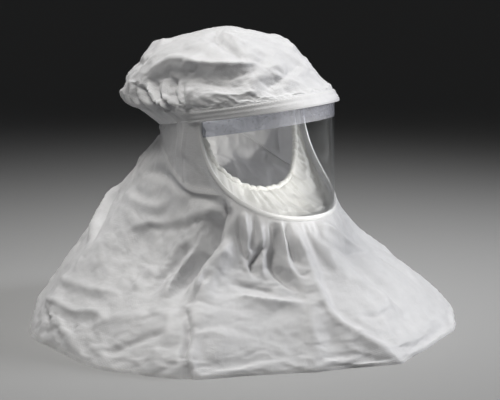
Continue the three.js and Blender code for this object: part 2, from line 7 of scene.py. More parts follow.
import bmesh
import bpy
import numpy as np
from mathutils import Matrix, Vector


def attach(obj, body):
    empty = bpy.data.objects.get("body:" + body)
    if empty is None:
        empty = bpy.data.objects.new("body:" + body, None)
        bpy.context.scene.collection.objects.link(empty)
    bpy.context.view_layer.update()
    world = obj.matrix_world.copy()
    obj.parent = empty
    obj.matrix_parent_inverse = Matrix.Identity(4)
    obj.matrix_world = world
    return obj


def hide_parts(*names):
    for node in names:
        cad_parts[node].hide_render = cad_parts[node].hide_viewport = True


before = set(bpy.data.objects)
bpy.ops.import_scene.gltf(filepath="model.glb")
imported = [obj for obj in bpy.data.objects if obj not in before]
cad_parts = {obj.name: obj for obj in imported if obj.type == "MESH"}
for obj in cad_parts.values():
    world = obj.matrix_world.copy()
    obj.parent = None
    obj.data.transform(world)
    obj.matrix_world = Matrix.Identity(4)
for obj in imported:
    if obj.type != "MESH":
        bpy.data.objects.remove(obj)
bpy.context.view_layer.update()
metre = 0.001

# Shared form: the upright wall round face and neck, and the levels at which the pieces meet.
form = dict(
    chinHeight=158, windowHeight=154, templeDrop=21, napeDrop=46, crownHeight=90, jawRise=38, yokeBand=9,
    faceWidth=224, faceReach=118, napeReach=124,
    windowTurn=90, windowRise=8, windowSquareness=2.35, visorLap=4,
    clothWall=1.8, seamGap=0.35, originX=-2.2475, originY=-8.5648,
)
browHeight = form["chinHeight"] + form["windowHeight"]
templeHeight = browHeight - form["templeDrop"]
napeHeight = browHeight - form["napeDrop"]
jawHeight = form["chinHeight"] + form["jawRise"]
windowTop = templeHeight + form["windowRise"]


# Small helpers for numbers, all on whole arrays.
def smooth(x):
    t = np.clip(x, 0, 1)
    return t * t * (3 - 2 * t)


def mix(a, b, share):
    return a + (b - a) * share


def wrapTurn(turn):
    return (np.asarray(turn, float) + math.pi) % (2 * math.pi) - math.pi


def through(values, share):
    # the smooth curve through evenly spaced values; values may hold one row per stop
    values = np.asarray(values, float)
    last = len(values) - 1
    place = np.clip(share, 0, 1) * last
    i = np.minimum(np.floor(place).astype(int), last - 1)

    def pick(k):
        k = np.clip(k, 0, last)
        return values[k] if values.ndim == 1 else values[k, np.arange(values.shape[1])]

    a, b, c, d = pick(i - 1), pick(i), pick(i + 1), pick(i + 2)
    f = place - i
    return b + 0.5 * f * (c - a + f * (2 * a - 5 * b + 4 * c - d + f * (3 * b - a - 3 * c + d)))


def around(turn, front, side, back):
    c = np.cos(turn)
    return side + (np.where(c > 0, front, back) - side) * c * c


def unit(v):
    return v / np.maximum(np.linalg.norm(v, axis=-1, keepdims=True), 1e-9)


def wallPoint(turn, height, offset=0.0):
    s, c = np.sin(turn), np.cos(turn)
    reach = np.where(c > 0, form["faceReach"], form["napeReach"])
    half = form["faceWidth"] / 2
    away = unit(np.stack([s * reach, -c * half], -1))
    x = half * s + away[..., 0] * offset
    y = -reach * c + away[..., 1] * offset
    return np.stack([x, y, np.broadcast_to(height, np.shape(x))], -1)


def placed(points):
    # from the hood's own millimetres to the frame's metres
    return (points + (form["originX"], form["originY"], 0)) * metre


def crownEdge(turn):
    c = np.cos(turn)
    return templeHeight + np.where(c > 0, browHeight - templeHeight, templeHeight - napeHeight) * c


def collarEdge(turn):
    return mix(jawHeight, napeHeight - form["yokeBand"], smooth(-np.cos(turn)))


def windowPoint(angle, grow=0.0):
    power = 2 / form["windowSquareness"]
    s = np.sin(angle)
    reach = math.radians(form["windowTurn"]) + grow / form["faceReach"]
    turn = reach * np.sign(s) * np.abs(s) ** power
    height = windowTop - np.abs(np.cos(angle)) ** power * (windowTop - form["chinHeight"] + grow)
    return turn, height


def windowAngle(grow, limit):
    low, high = 0.0, math.pi / 2
    for _ in range(40):
        middle = (low + high) / 2
        turn, height = windowPoint(middle, grow)
        if height < limit(turn):
            low = middle
        else:
            high = middle
    return (low + high) / 2


jawAngle = windowAngle(0, collarEdge)


def windowAngles(grow, below, sideSteps, chinSteps):
    topAngle = windowAngle(grow, lambda turn: crownEdge(turn) - below)
    side = np.linspace(jawAngle, topAngle, sideSteps + 1)
    chin = np.linspace(-jawAngle, jawAngle, chinSteps + 1)
    return np.concatenate([-side[::-1], chin[1:-1], side])


# Folds and crumples.
def spread(places, stops, points):
    return np.stack([np.interp(places, stops, points[:, k]) for k in range(3)], 1)


def gridNormals(grid, ring):
    right = np.roll(grid, -1, 1) - np.roll(grid, 1, 1)
    if not ring:
        right[:, 0] = grid[:, 1] - grid[:, 0]
        right[:, -1] = grid[:, -1] - grid[:, -2]
    up = np.empty_like(grid)
    up[1:-1] = grid[2:] - grid[:-2]
    up[0] = grid[1] - grid[0]
    up[-1] = grid[-1] - grid[-2]
    return unit(np.cross(right, up))


def fold(along, depth, width, crisp, **more):
    return dict(along=along, depth=depth, width=width, crisp=crisp, **more)


def foldRelief(points, normals, locate, folds):
    # each fold runs along places (turn, share); left and right are its widths beside the way it runs,
    # seen from outside; crisp 1 is a sharp crest, 0 a round one; ends are the shares over which it fades
    relief = np.zeros(len(points))
    for crease in folds:
        places = np.array(crease["along"], float)
        steps = np.linspace(0, 1, 7 * (len(places) - 1) + 1)
        path = locate(np.radians(through(places[:, 0], steps)), through(places[:, 1], steps))
        left = crease["width"]
        right = crease.get("right", left)
        reach = max(left, right)
        near = np.flatnonzero(((points > path.min(0) - reach) & (points < path.max(0) + reach)).all(1))
        if not len(near):
            continue
        here, facing = points[near], normals[near]
        best = np.full(len(near), 1e9)
        along = np.zeros(len(near))
        side = np.zeros(len(near))
        for k in range(len(path) - 1):
            run = path[k + 1] - path[k]
            t = np.clip((here - path[k]) @ run / max(run @ run, 1e-9), 0, 1)
            gap = here - path[k] - t[:, None] * run
            distance = np.linalg.norm(gap, axis=1)
            closer = distance < best
            best[closer] = distance[closer]
            along[closer] = (k + t[closer]) / (len(path) - 1)
            side[closer] = np.einsum("ij,ij->i", np.cross(run, gap), facing)[closer]
        x = np.clip(best / np.where(side > 0, left, right), 0, 1)
        crisp = crease["crisp"]
        profile = mix(1 - smooth(x), (1 - x) ** 1.7, crisp)
        start, end = crease.get("ends", (0.25, 0.25))
        fade = smooth(along / max(start, 1e-6)) * smooth((1 - along) / max(end, 1e-6))
        relief[near] += crease["depth"] * profile * fade
    return relief


def lattice(x, y, cell, heights, flat):
    # random heights on a triangle lattice, joined by flat facets or smoothly
    bend = (x + y) * 0.3660254 / cell
    u, v = x / cell + bend, y / cell + bend
    i, j = np.floor(u).astype(int), np.floor(v).astype(int)
    u, v = u - i, v - j
    size = len(heights)
    at = lambda a, b: heights[(i + a) % size, (j + b) % size]
    if not flat:
        u, v = smooth(u), smooth(v)
        return mix(mix(at(0, 0), at(1, 0), u), mix(at(0, 1), at(1, 1), u), v)
    upper = at(0, 0) * (1 - u) + at(1, 0) * (u - v) + at(1, 1) * v
    lower = at(0, 0) * (1 - v) + at(0, 1) * (v - u) + at(1, 1) * u
    return np.where(u > v, upper, lower)


def flatCrumple(unrolled, turn, layers, seed):
    # crumples of a cloth that is laid out flat round its middle
    return crumple(unrolled * np.sin(turn), -unrolled * np.cos(turn), layers, seed)


def crumple(x, y, layers, seed):
    # flat facets between crisp creases, as stiff cloth keeps them; each layer is (cell, depth)
    draw = np.random.default_rng(seed)
    relief = np.zeros(len(x))
    for cell, depth in layers:
        heights = draw.uniform(-1, 1, (64, 64))
        bendX, bendY = draw.uniform(-1, 1, (2, 64, 64))
        amount = draw.uniform(0, 1, (64, 64))
        warpX = x + 0.6 * cell * lattice(x, y, 1.3 * cell, bendX, False)
        warpY = y + 0.6 * cell * lattice(x, y, 1.3 * cell, bendY, False)
        strength = 0.35 + 0.65 * lattice(x, y, 2.6 * cell, amount, False)
        relief += depth * strength * lattice(warpX, warpY, cell, heights, True)
    return relief


clothValues = dict(quality=6, mass=0.1, stiffness=30, shear=12, damping=12, air=3)


def buckle(name, grid, held, snug, growth, frames, bending, cap, gravity, step):
    # the cloth is cut a little larger than its form, so it settles into creases of its own; held is how
    # firmly each place is sewn or rests, snug is 1 where it has no spare cloth, cap is how far it may move
    rows, columns = grid.shape[:2]
    rowPick = np.unique(np.append(np.arange(0, rows, step), rows - 1))
    columnPick = np.arange(0, columns, step)
    coarse = grid[np.ix_(rowPick, columnPick)]
    n, m = coarse.shape[:2]
    i, j = (k.ravel() for k in np.meshgrid(np.arange(n - 1), np.arange(m), indexing="ij"))
    faces = np.stack([i * m + j, i * m + (j + 1) % m, (i + 1) * m + (j + 1) % m, (i + 1) * m + j], 1)
    mesh = bpy.data.meshes.new(name + "_settling")
    mesh.from_pydata((coarse.reshape(-1, 3) * metre).tolist(), [], faces.tolist())
    cloth = bpy.data.objects.new(mesh.name, mesh)
    bpy.context.collection.objects.link(cloth)
    for groupName, values in (("held", held), ("snug", snug)):
        group = cloth.vertex_groups.new(name=groupName)
        weights = np.round(values[np.ix_(rowPick, columnPick)].ravel(), 2)
        for weight in np.unique(weights):
            group.add(np.flatnonzero(weights == weight).tolist(), float(weight), "REPLACE")
    modifier = cloth.modifiers.new("settle", "CLOTH")
    settings = modifier.settings
    settings.quality = clothValues["quality"]
    settings.mass = clothValues["mass"]
    settings.tension_stiffness = settings.compression_stiffness = clothValues["stiffness"]
    settings.shear_stiffness = clothValues["shear"]
    settings.bending_stiffness = bending
    settings.tension_damping = settings.compression_damping = clothValues["damping"]
    settings.shear_damping = clothValues["damping"]
    settings.air_damping = clothValues["air"]
    settings.shrink_min, settings.shrink_max = -growth, 0
    settings.vertex_group_shrink = "snug"
    settings.vertex_group_mass = "held"
    settings.effector_weights.gravity = gravity
    modifier.collision_settings.use_collision = False
    modifier.point_cache.frame_start, modifier.point_cache.frame_end = 1, frames
    scene = bpy.context.scene
    for number in range(1, frames + 1):
        scene.frame_set(number)
    settled = cloth.evaluated_get(bpy.context.evaluated_depsgraph_get())
    moved = np.empty(n * m * 3)
    settled.data.vertices.foreach_get("co", moved)
    move = moved.reshape(n, m, 3) / metre - coarse
    length = np.linalg.norm(move, axis=2, keepdims=True)
    average, most = (round(float(value), 2) for value in (length.mean(), length.max()))
    print(name, "settled, moved by", average, "mm on average,", most, "at most")
    move *= cap * np.tanh(length / cap) / np.maximum(length, 1e-9)
    scene.frame_set(1)
    bpy.data.objects.remove(cloth)
    bpy.data.meshes.remove(mesh)
    closed = np.concatenate([move, move[:, :1]], 1)
    rowPlace, columnPlace = np.arange(rows), np.arange(columns)
    columnStops = np.append(columnPick, columns)
    byColumn = np.stack([spread(columnPlace, columnStops, closed[row]) for row in range(n)])
    return grid + np.stack([spread(rowPlace, rowPick, byColumn[:, column]) for column in range(columns)], 1)


# Meshes from grids of points.
def shell(name, outer, inner, ring=False, pole=False):
    # a closed wall between two grids; a ring joins its sides, a pole draws its last row to one point
    rows, columns = outer.shape[:2]
    spans = columns if ring else columns - 1
    count = rows * columns
    if pole:
        outer[-1], inner[-1] = outer[-1, :1], inner[-1, :1]
    points = np.concatenate([outer.reshape(-1, 3), inner.reshape(-1, 3)])
    pattern = gridPattern(outer, ring)
    i, j = np.meshgrid(np.arange(rows - 1), np.arange(spans), indexing="ij")
    i, j = i.ravel(), j.ravel()

    def corner(sheet, row, column):
        place = sheet * count + row * columns + column % columns
        if pole:
            place = np.where(row == rows - 1, sheet * count + row * columns, place)
        return place, row, column

    def quads(*corners):
        return [np.stack([c[k] + np.zeros_like(corners[0][0]) for c in corners], 1) for k in range(3)]

    bottom, top, edge = 0 * np.arange(spans), 0 * np.arange(spans) + rows - 1, np.arange(spans)
    blocks = [
        quads(corner(0, i, j), corner(0, i, j + 1), corner(0, i + 1, j + 1), corner(0, i + 1, j)),
        quads(corner(1, i, j + 1), corner(1, i, j), corner(1, i + 1, j), corner(1, i + 1, j + 1)),
        quads(
            corner(0, bottom, edge + 1), corner(0, bottom, edge), corner(1, bottom, edge), corner(1, bottom, edge + 1)
        ),
    ]
    if not pole:
        blocks.append(
            quads(corner(0, top, edge), corner(0, top, edge + 1), corner(1, top, edge + 1), corner(1, top, edge))
        )
    if not ring:
        up, end = np.arange(rows - 1), 0 * np.arange(rows - 1) + columns - 1
        start = 0 * up
        blocks.append(
            quads(corner(0, up, start), corner(0, up + 1, start), corner(1, up + 1, start), corner(1, up, start))
        )
        blocks.append(quads(corner(0, up, end), corner(1, up, end), corner(1, up + 1, end), corner(0, up + 1, end)))
    corners, rowsOf, columnsOf = (np.concatenate([block[k] for block in blocks]) for k in range(3))
    places = pattern[rowsOf, columnsOf]
    faces, patternOfLoops = [], []
    for four, where in zip(corners.tolist(), places):
        keep = [k for k in range(4) if four[k] != four[(k + 1) % 4]]
        faces.append([four[k] for k in keep])
        patternOfLoops.append(where[keep])
    mesh = bpy.data.meshes.new(name)
    mesh.from_pydata(placed(points).tolist(), [], faces)
    layer = mesh.uv_layers.new(name="cloth")
    layer.data.foreach_set("uv", np.concatenate(patternOfLoops).ravel())
    mesh.validate()
    piece = addObject(name, mesh)
    if pole:
        dropLoose(mesh)
    return piece


def gridPattern(grid, ring):
    # run of the cloth across and up, in metres, so that a pattern keeps its scale
    closed = np.concatenate([grid, grid[:, :1]], 1) if ring else grid
    across = np.linalg.norm(np.diff(closed, axis=1), axis=2).mean(0)
    up = np.linalg.norm(np.diff(closed, axis=0), axis=2).mean(1)
    u = np.concatenate([[0], np.cumsum(across)]) * metre
    v = np.concatenate([[0], np.cumsum(up)]) * metre
    return np.stack(np.broadcast_arrays(u[None, :], v[:, None]), -1)


def dropLoose(mesh):
    work = bmesh.new()
    work.from_mesh(mesh)
    bmesh.ops.delete(work, geom=[v for v in work.verts if not v.link_faces], context="VERTS")
    work.to_mesh(mesh)
    work.free()


def addObject(name, mesh, crease=55):
    mesh.shade_smooth()
    mesh.set_sharp_from_angle(angle=math.radians(crease))
    piece = bpy.data.objects.new(name, mesh)
    bpy.context.collection.objects.link(piece)
    return piece


def finishPiece(piece, material, slot, *nodes):
    piece.data.materials.clear()
    piece.data.materials.append(material)
    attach(piece, "root")
    if nodes:
        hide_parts(*nodes)
    print("made", piece.name, "with", len(piece.data.polygons), "faces")
    return piece


# Materials.
def linear(code):
    parts = [int(code[k:k + 2], 16) / 255 for k in (1, 3, 5)]
    return [c / 12.92 if c <= 0.04045 else ((c + 0.055) / 1.055) ** 2.4 for c in parts] + [1.0]


def addNode(tree, kind, sockets=None, **settings):
    # sockets holds, by input, either a value or the output that feeds it
    node = tree.nodes.new(kind)
    for name, value in settings.items():
        setattr(node, name, value)
    for name, value in (sockets or {}).items():
        socket = node.inputs[name]
        if isinstance(value, bpy.types.NodeSocket):
            tree.links.new(value, socket)
        else:
            socket.default_value = value
    return node


def newMaterial(name):
    material = bpy.data.materials.new(name)
    material.use_nodes = True
    material.node_tree.nodes.clear()
    return material, material.node_tree


def nonwoven(name, light, shaded, roughness, glow, mottle, bump):
    # spunbonded polyolefin: cloudy fibre web under a grid of small pressed points, lets some light through
    material, tree = newMaterial(name)
    place = addNode(tree, "ShaderNodeTexCoord").outputs
    # clouds of about 18 mm, and a fibre web of 2.4 mm, coarser than real fibres so that it shows
    cloud = addNode(
        tree, "ShaderNodeTexNoise", {"Vector": place["Object"], "Scale": 55.0, "Detail": 6.0, "Roughness": 0.62}
    )
    web = addNode(
        tree, "ShaderNodeTexNoise", {"Vector": place["Object"], "Scale": 420.0, "Detail": 3.0, "Roughness": 0.6}
    )
    # pressed points every 2.6 mm, coarser than the real 1.2 mm so that they show
    turned = addNode(
        tree, "ShaderNodeMapping",
        {"Vector": place["UV"], "Rotation": (0, 0, math.radians(45)), "Scale": (385.0, 385.0, 385.0)}
    )
    points = addNode(tree, "ShaderNodeTexVoronoi", {"Vector": turned.outputs[0], "Scale": 1.0, "Randomness": 0.12})
    pressed = addNode(
        tree, "ShaderNodeMapRange", {"Value": points.outputs["Distance"], "From Min": 0.12, "From Max": 0.42}
    )
    tone = addNode(tree, "ShaderNodeMapRange", {"Value": cloud.outputs[0], "From Min": 0.3, "From Max": 0.72})
    colour = addNode(tree, "ShaderNodeMix", data_type="RGBA")
    tree.links.new(tone.outputs[0], colour.inputs[0])
    colour.inputs[6].default_value = linear(shaded)
    colour.inputs[7].default_value = linear(light)
    gloss = addNode(
        tree, "ShaderNodeMapRange",
        {
            "Value": web.outputs[0], "From Min": 0.3, "From Max": 0.7, "To Min": roughness - 0.07,
            "To Max": roughness + 0.07
        }
    )
    fine = addNode(tree, "ShaderNodeBump", {"Height": pressed.outputs[0], "Strength": bump, "Distance": 0.0003})
    soft = addNode(
        tree, "ShaderNodeBump",
        {"Height": web.outputs[0], "Strength": bump, "Distance": 0.0006, "Normal": fine.outputs[0]}
    )
    wide = addNode(
        tree, "ShaderNodeBump",
        {"Height": cloud.outputs[0], "Strength": mottle, "Distance": 0.0022, "Normal": soft.outputs[0]}
    )
    cloth = addNode(
        tree, "ShaderNodeBsdfPrincipled",
        {"Base Color": colour.outputs[2], "Roughness": gloss.outputs[0], "Normal": wide.outputs[0], "IOR": 1.49}
    )
    cloth.inputs["Sheen Weight"].default_value = 0.12
    cloth.inputs["Sheen Roughness"].default_value = 0.5
    letThrough = addNode(tree, "ShaderNodeBsdfTranslucent", {"Color": colour.outputs[2], "Normal": wide.outputs[0]})
    both = addNode(tree, "ShaderNodeMixShader", {0: glow, 1: cloth.outputs[0], 2: letThrough.outputs[0]})
    addNode(tree, "ShaderNodeOutputMaterial", {"Surface": both.outputs[0]})
    return material


def clearSheet(name, tint, roughness, least, most):
    # calendered PETG sheet: clear, glossy, and brighter where it is seen edge on
    material, tree = newMaterial(name)
    place = addNode(tree, "ShaderNodeTexCoord").outputs
    ripple = addNode(tree, "ShaderNodeTexNoise", {"Vector": place["Object"], "Scale": 14.0, "Detail": 1.0})
    bump = addNode(tree, "ShaderNodeBump", {"Height": ripple.outputs[0], "Strength": 0.15, "Distance": 0.004})
    facing = addNode(tree, "ShaderNodeLayerWeight", {"Blend": 0.5, "Normal": bump.outputs[0]})
    grazing = addNode(tree, "ShaderNodeMath", {0: facing.outputs["Facing"], 1: 4.0}, operation="POWER")
    amount = addNode(tree, "ShaderNodeMapRange", {"Value": grazing.outputs[0], "To Min": least, "To Max": most})
    clear = addNode(tree, "ShaderNodeBsdfTransparent", {"Color": linear(tint)})
    gloss = addNode(
        tree, "ShaderNodeBsdfPrincipled",
        {"Base Color": linear("#fbfdff"), "Metallic": 1.0, "Roughness": roughness, "Normal": bump.outputs[0]}
    )
    both = addNode(tree, "ShaderNodeMixShader", {0: amount.outputs[0], 1: clear.outputs[0], 2: gloss.outputs[0]})
    addNode(tree, "ShaderNodeOutputMaterial", {"Surface": both.outputs[0]})
    return material


def frostedSheet(name, colour, roughness, cover):
    # matt blue-grey film: scatters a little light and stays see-through
    material, tree = newMaterial(name)
    place = addNode(tree, "ShaderNodeTexCoord").outputs
    grain = addNode(tree, "ShaderNodeTexNoise", {"Vector": place["Object"], "Scale": 260.0, "Detail": 2.0})
    amount = addNode(
        tree, "ShaderNodeMapRange", {"Value": grain.outputs[0], "To Min": cover - 0.05, "To Max": cover + 0.05}
    )
    clear = addNode(tree, "ShaderNodeBsdfTransparent", {"Color": linear("#f4f6fb")})
    film = addNode(
        tree, "ShaderNodeBsdfPrincipled", {"Base Color": linear(colour), "Roughness": roughness, "IOR": 1.5}
    )
    both = addNode(tree, "ShaderNodeMixShader", {0: amount.outputs[0], 1: clear.outputs[0], 2: film.outputs[0]})
    addNode(tree, "ShaderNodeOutputMaterial", {"Surface": both.outputs[0]})
    return material


coatedCloth = nonwoven("coated_nonwoven", "#f8f8f9", "#eeeeef", 0.44, 0.36, 0.5, 0.35)
softCloth = nonwoven("soft_nonwoven", "#f6f6f4", "#ededea", 0.8, 0.4, 0.6, 0.5)
weldedTape = nonwoven("welded_tape", "#f8f8f8", "#f0f0f0", 0.38, 0.15, 0.2, 0.2)
clearVisor = clearSheet("clear_petg", "#fefefe", 0.06, 0.02, 0.75)
frostedStrip = frostedSheet("frosted_strip", "#dcdce1", 0.4, 0.28)
print("materials ready")


# Stitches, made by Geometry Nodes along a path that carries the way the cloth faces.
def polyesterThread(name, colour):
    # spun polyester sewing thread: matt white, with the twist of its plies as fine slanting bands
    material, tree = newMaterial(name)
    place = addNode(tree, "ShaderNodeTexCoord").outputs
    twist = addNode(
        tree, "ShaderNodeTexWave", {"Vector": place["Object"], "Scale": 480.0, "Distortion": 1.5},
        bands_direction="DIAGONAL"
    )
    ply = addNode(tree, "ShaderNodeBump", {"Height": twist.outputs["Fac"], "Strength": 0.4, "Distance": 0.0001})
    thread = addNode(
        tree, "ShaderNodeBsdfPrincipled", {"Base Color": linear(colour), "Roughness": 0.6, "Normal": ply.outputs[0]}
    )
    addNode(tree, "ShaderNodeOutputMaterial", {"Surface": thread.outputs[0]})
    return material


def buildStitchTree():
    tree = bpy.data.node_groups.new("stitch_row", "GeometryNodeTree")
    tree.interface.new_socket("Path", in_out="INPUT", socket_type="NodeSocketGeometry")
    for label in ("Spacing", "Length", "Width", "Height"):
        tree.interface.new_socket(label, in_out="INPUT", socket_type="NodeSocketFloat")
    tree.interface.new_socket("Thread", in_out="INPUT", socket_type="NodeSocketMaterial")
    tree.interface.new_socket("Row", in_out="OUTPUT", socket_type="NodeSocketGeometry")
    given = addNode(tree, "NodeGroupInput").outputs
    curve = addNode(tree, "GeometryNodeMeshToCurve", {"Mesh": given["Path"]})
    stops = addNode(
        tree, "GeometryNodeResampleCurve", {"Curve": curve.outputs[0], "Length": given["Spacing"]}, mode="LENGTH"
    )
    stitch = addNode(tree, "GeometryNodeMeshUVSphere", {"Segments": 8, "Rings": 5, "Radius": 0.5})
    facing = addNode(tree, "GeometryNodeInputNamedAttribute", {"Name": "facing"}, data_type="FLOAT_VECTOR")
    along = addNode(tree, "GeometryNodeInputTangent")
    aim = addNode(
        tree, "FunctionNodeAxesToRotation", {"Primary Axis": along.outputs[0], "Secondary Axis": facing.outputs[0]},
        primary_axis="X", secondary_axis="Z"
    )
    uneven = addNode(tree, "FunctionNodeRandomValue", {"Min": 0.82, "Max": 1.0, "Seed": 4}, data_type="FLOAT")
    length = addNode(tree, "ShaderNodeMath", {0: given["Length"]}, operation="MULTIPLY")
    tree.links.new(next(socket for socket in uneven.outputs if socket.enabled), length.inputs[1])
    size = addNode(tree, "ShaderNodeCombineXYZ", {"X": length.outputs[0], "Y": given["Width"], "Z": given["Height"]})
    row = addNode(
        tree, "GeometryNodeInstanceOnPoints",
        {
            "Points": stops.outputs[0], "Instance": stitch.outputs[0], "Rotation": aim.outputs[0],
            "Scale": size.outputs[0]
        }
    )
    solid = addNode(tree, "GeometryNodeRealizeInstances", {"Geometry": row.outputs[0]})
    dressed = addNode(tree, "GeometryNodeSetMaterial", {"Geometry": solid.outputs[0], "Material": given["Thread"]})
    addNode(tree, "NodeGroupOutput", {"Row": dressed.outputs[0]})
    return tree


stitchTree = buildStitchTree()
whiteThread = polyesterThread("polyester_thread", "#f4f3ef")
# a thread of 0.8 mm where the real one has 0.4, so that it shows
stitchSizes = dict(spacing=4.2, length=3.1, width=0.8, height=0.6)


def stitchRow(name, grid, row, closed=False):
    count = grid.shape[1]
    edges = [(k, (k + 1) % count) for k in range(count if closed else count - 1)]
    mesh = bpy.data.meshes.new(name + "_path")
    mesh.from_pydata(placed(grid[row]).tolist(), edges, [])
    layer = mesh.attributes.new("facing", "FLOAT_VECTOR", "POINT")
    layer.data.foreach_set("vector", gridNormals(grid, closed)[row].ravel())
    path = bpy.data.objects.new(mesh.name, mesh)
    bpy.context.collection.objects.link(path)
    modifier = path.modifiers.new("stitches", "NODES")
    modifier.node_group = stitchTree
    for socket in stitchTree.interface.items_tree:
        if socket.name.lower() in stitchSizes:
            modifier[socket.identifier] = stitchSizes[socket.name.lower()] * metre
        elif socket.name == "Thread":
            modifier[socket.identifier] = whiteThread
    rowMesh = bpy.data.meshes.new_from_object(path.evaluated_get(bpy.context.evaluated_depsgraph_get()))
    path.modifiers.remove(modifier)
    bpy.data.objects.remove(path)
    bpy.data.meshes.remove(mesh)
    rowMesh.name = name
    if "facing" in rowMesh.attributes:
        rowMesh.attributes.remove(rowMesh.attributes["facing"])
    return finishPiece(addObject(name, rowMesh, 180), whiteThread, "coated_cloth")


gatherSizes = dict(depth=1.1, start=98, fade=8)


def seamGathers(turn):
    # upright gathers that run across the seam of crown and yoke, behind the ends of the brim band
    wave = np.sin(44 * turn + 1.3) + 0.7 * np.sin(71 * turn + 0.4) * np.sin(3 * turn)
    behind = (np.abs(wrapTurn(turn)) - math.radians(gatherSizes["start"])) / math.radians(gatherSizes["fade"])
    return gatherSizes["depth"] * wave * smooth(behind)


# Crown.
crownSizes = dict(
    sideFullness=3, frontFullness=4, backFullness=48, flare=18, squareness=2.15, height=90,
    brimHeight=13, brimDrop=3, columns=320, rows=120, thickness=1.2, pinch=0.9, seed=11,
    unrolled=215, crumpleSeed=5, fineSeed=25,
    capShare=0.87, capRise=4.5, fine=((17, 1.5), (8, 0.6)),
    crumple=((50, 3.0), (23, 1.4), (10, 0.5)),
    buckle=dict(step=2, growth=0.03, frames=12, bending=0.4, cap=4.0, gravity=0.1),
)
crownSide = form["faceWidth"] / 2 + crownSizes["sideFullness"]
crownFront = form["faceReach"] + crownSizes["frontFullness"]
crownBack = form["napeReach"] + crownSizes["backFullness"]
brimRise = crownSizes["brimHeight"] - crownSizes["brimDrop"]
hoodHeight = browHeight + form["crownHeight"]
# rings from the brim up: rises at front, side and back, middle, front, back, side
crownRings = np.array([
    [0.09, 0.11, 0.147, 0.116, 0.984, 1, 1],
    [0.235, 0.265, 0.274, 0.198, 1, 0.919, 0.991],
    [0.39, 0.42, 0.424, 0.238, 0.967, 0.826, 0.957],
    [0.55, 0.58, 0.585, 0.244, 0.852, 0.727, 0.887],
    [0.71, 0.735, 0.746, 0.244, 0.705, 0.616, 0.783],
    [0.84, 0.855, 0.862, 0.233, 0.508, 0.419, 0.591],
    [0.93, 0.94, 0.942, 0.221, 0.311, 0.233, 0.365],
    [0.985, 0.985, 0.983, 0.221, 0.148, 0.105, 0.174],
    [1, 1, 1, 0.221, 0, 0, 0],
])
brimShare = 1 / (len(crownRings) + 1)


def crownPlain(turn, share):
    turn, share = np.broadcast_arrays(turn, share)
    edge = crownEdge(turn)
    brimTop = edge + around(turn, brimRise, brimRise, crownSizes["flare"])
    heights = [edge, brimTop] + [mix(brimTop, hoodHeight, around(turn, *ring[:3])) for ring in crownRings]
    edgeRing = [0, form["faceReach"] / crownFront, form["napeReach"] / crownBack, form["faceWidth"] / 2 / crownSide]
    rings = np.array([edgeRing, [0.047, 0.951, 0.849, 0.991]] + crownRings[:, 3:].tolist())
    middle, front, back, side = (through(rings[:, k], share) for k in range(4))
    square = mix(2, crownSizes["squareness"], smooth(share / (2 * brimShare)))
    s, c = np.sin(turn), np.cos(turn)
    x = side * crownSide * np.sign(s) * np.abs(s) ** (2 / square)
    reach = np.where(c > 0, front * crownFront, back * crownBack)
    y = middle * crownBack - reach * np.sign(c) * np.abs(c) ** (2 / square)
    return np.stack([x, y, through(np.array(heights), share)], -1)


# folds of the crown, with shares running up from its edge
crownFolds = [
    fold([(-118, 0.3), (-100, 0.4), (-78, 0.42), (-55, 0.4), (-36, 0.4)], -8, 20, 0.2, right=34),
    fold([(-112, 0.44), (-94, 0.545), (-72, 0.515), (-41, 0.49), (-25, 0.5)], 6, 20, 0.8, right=15),
    fold([(-96, 0.9), (-70, 0.78), (-47, 0.67), (-36, 0.52)], -6, 13, 0.6, right=17),
    fold([(-60, 0.86), (-38, 0.76), (-26, 0.66)], 3.5, 10, 0.8, right=16),
    fold([(-91, 0.43), (-92, 0.3), (-93, 0.17)], -7, 8, 0.4),
    fold([(-103, 0.4), (-101, 0.27), (-97, 0.16)], -6, 7, 0.4),
    fold([(-114, 0.36), (-109, 0.22), (-104, 0.14)], -5.5, 8, 0.4),
    fold([(-97, 0.42), (-97, 0.28), (-95, 0.16)], 4.5, 6, 0.7),
    fold([(-109, 0.4), (-105, 0.27), (-99, 0.15)], 4.5, 6, 0.7),
    fold([(-79, 0.34), (-85, 0.23), (-92, 0.14)], 4.5, 7, 0.7),
    fold([(-84, 0.4), (-87, 0.26), (-92, 0.15)], -3.5, 6, 0.5),
    fold([(-78, 0.5), (-76, 0.46)], -3, 9, 0.2, ends=(0.5, 0.5)),
    fold([(-74, 0.38), (-58, 0.34), (-42, 0.32)], -3.5, 10, 0.6),
    fold([(-70, 0.25), (-52, 0.24), (-34, 0.26)], 2.5, 9, 0.7),
    fold([(12, 0.47), (-10, 0.38), (-36, 0.25)], -4, 12, 0.6, right=18),
    fold([(-22, 0.42), (-8, 0.3), (2, 0.16)], 2.5, 10, 0.6),
    fold([(-168, 0.55), (-154, 0.63), (-140, 0.66), (-120, 0.62)], 5, 16, 0.7),
    fold([(-150, 0.4), (-138, 0.5), (-122, 0.48)], -4, 12, 0.5),
    fold([(30, 0.3), (48, 0.45), (62, 0.62)], -5, 16, 0.5),
    fold([(20, 0.55), (38, 0.62), (60, 0.72)], 3.5, 14, 0.7),
    fold([(80, 0.4), (98, 0.56), (120, 0.78)], -5, 17, 0.5),
    fold([(104, 0.42), (128, 0.5), (150, 0.5)], 5, 16, 0.7),
    fold([(-140, 0.45), (-168, 0.6), (-190, 0.72)], -4, 18, 0.5),
    fold([(150, 0.38), (174, 0.46), (196, 0.42)], 4.5, 15, 0.7),
    fold([(60, 0.28), (84, 0.34), (100, 0.3)], 3.5, 10, 0.6),
]

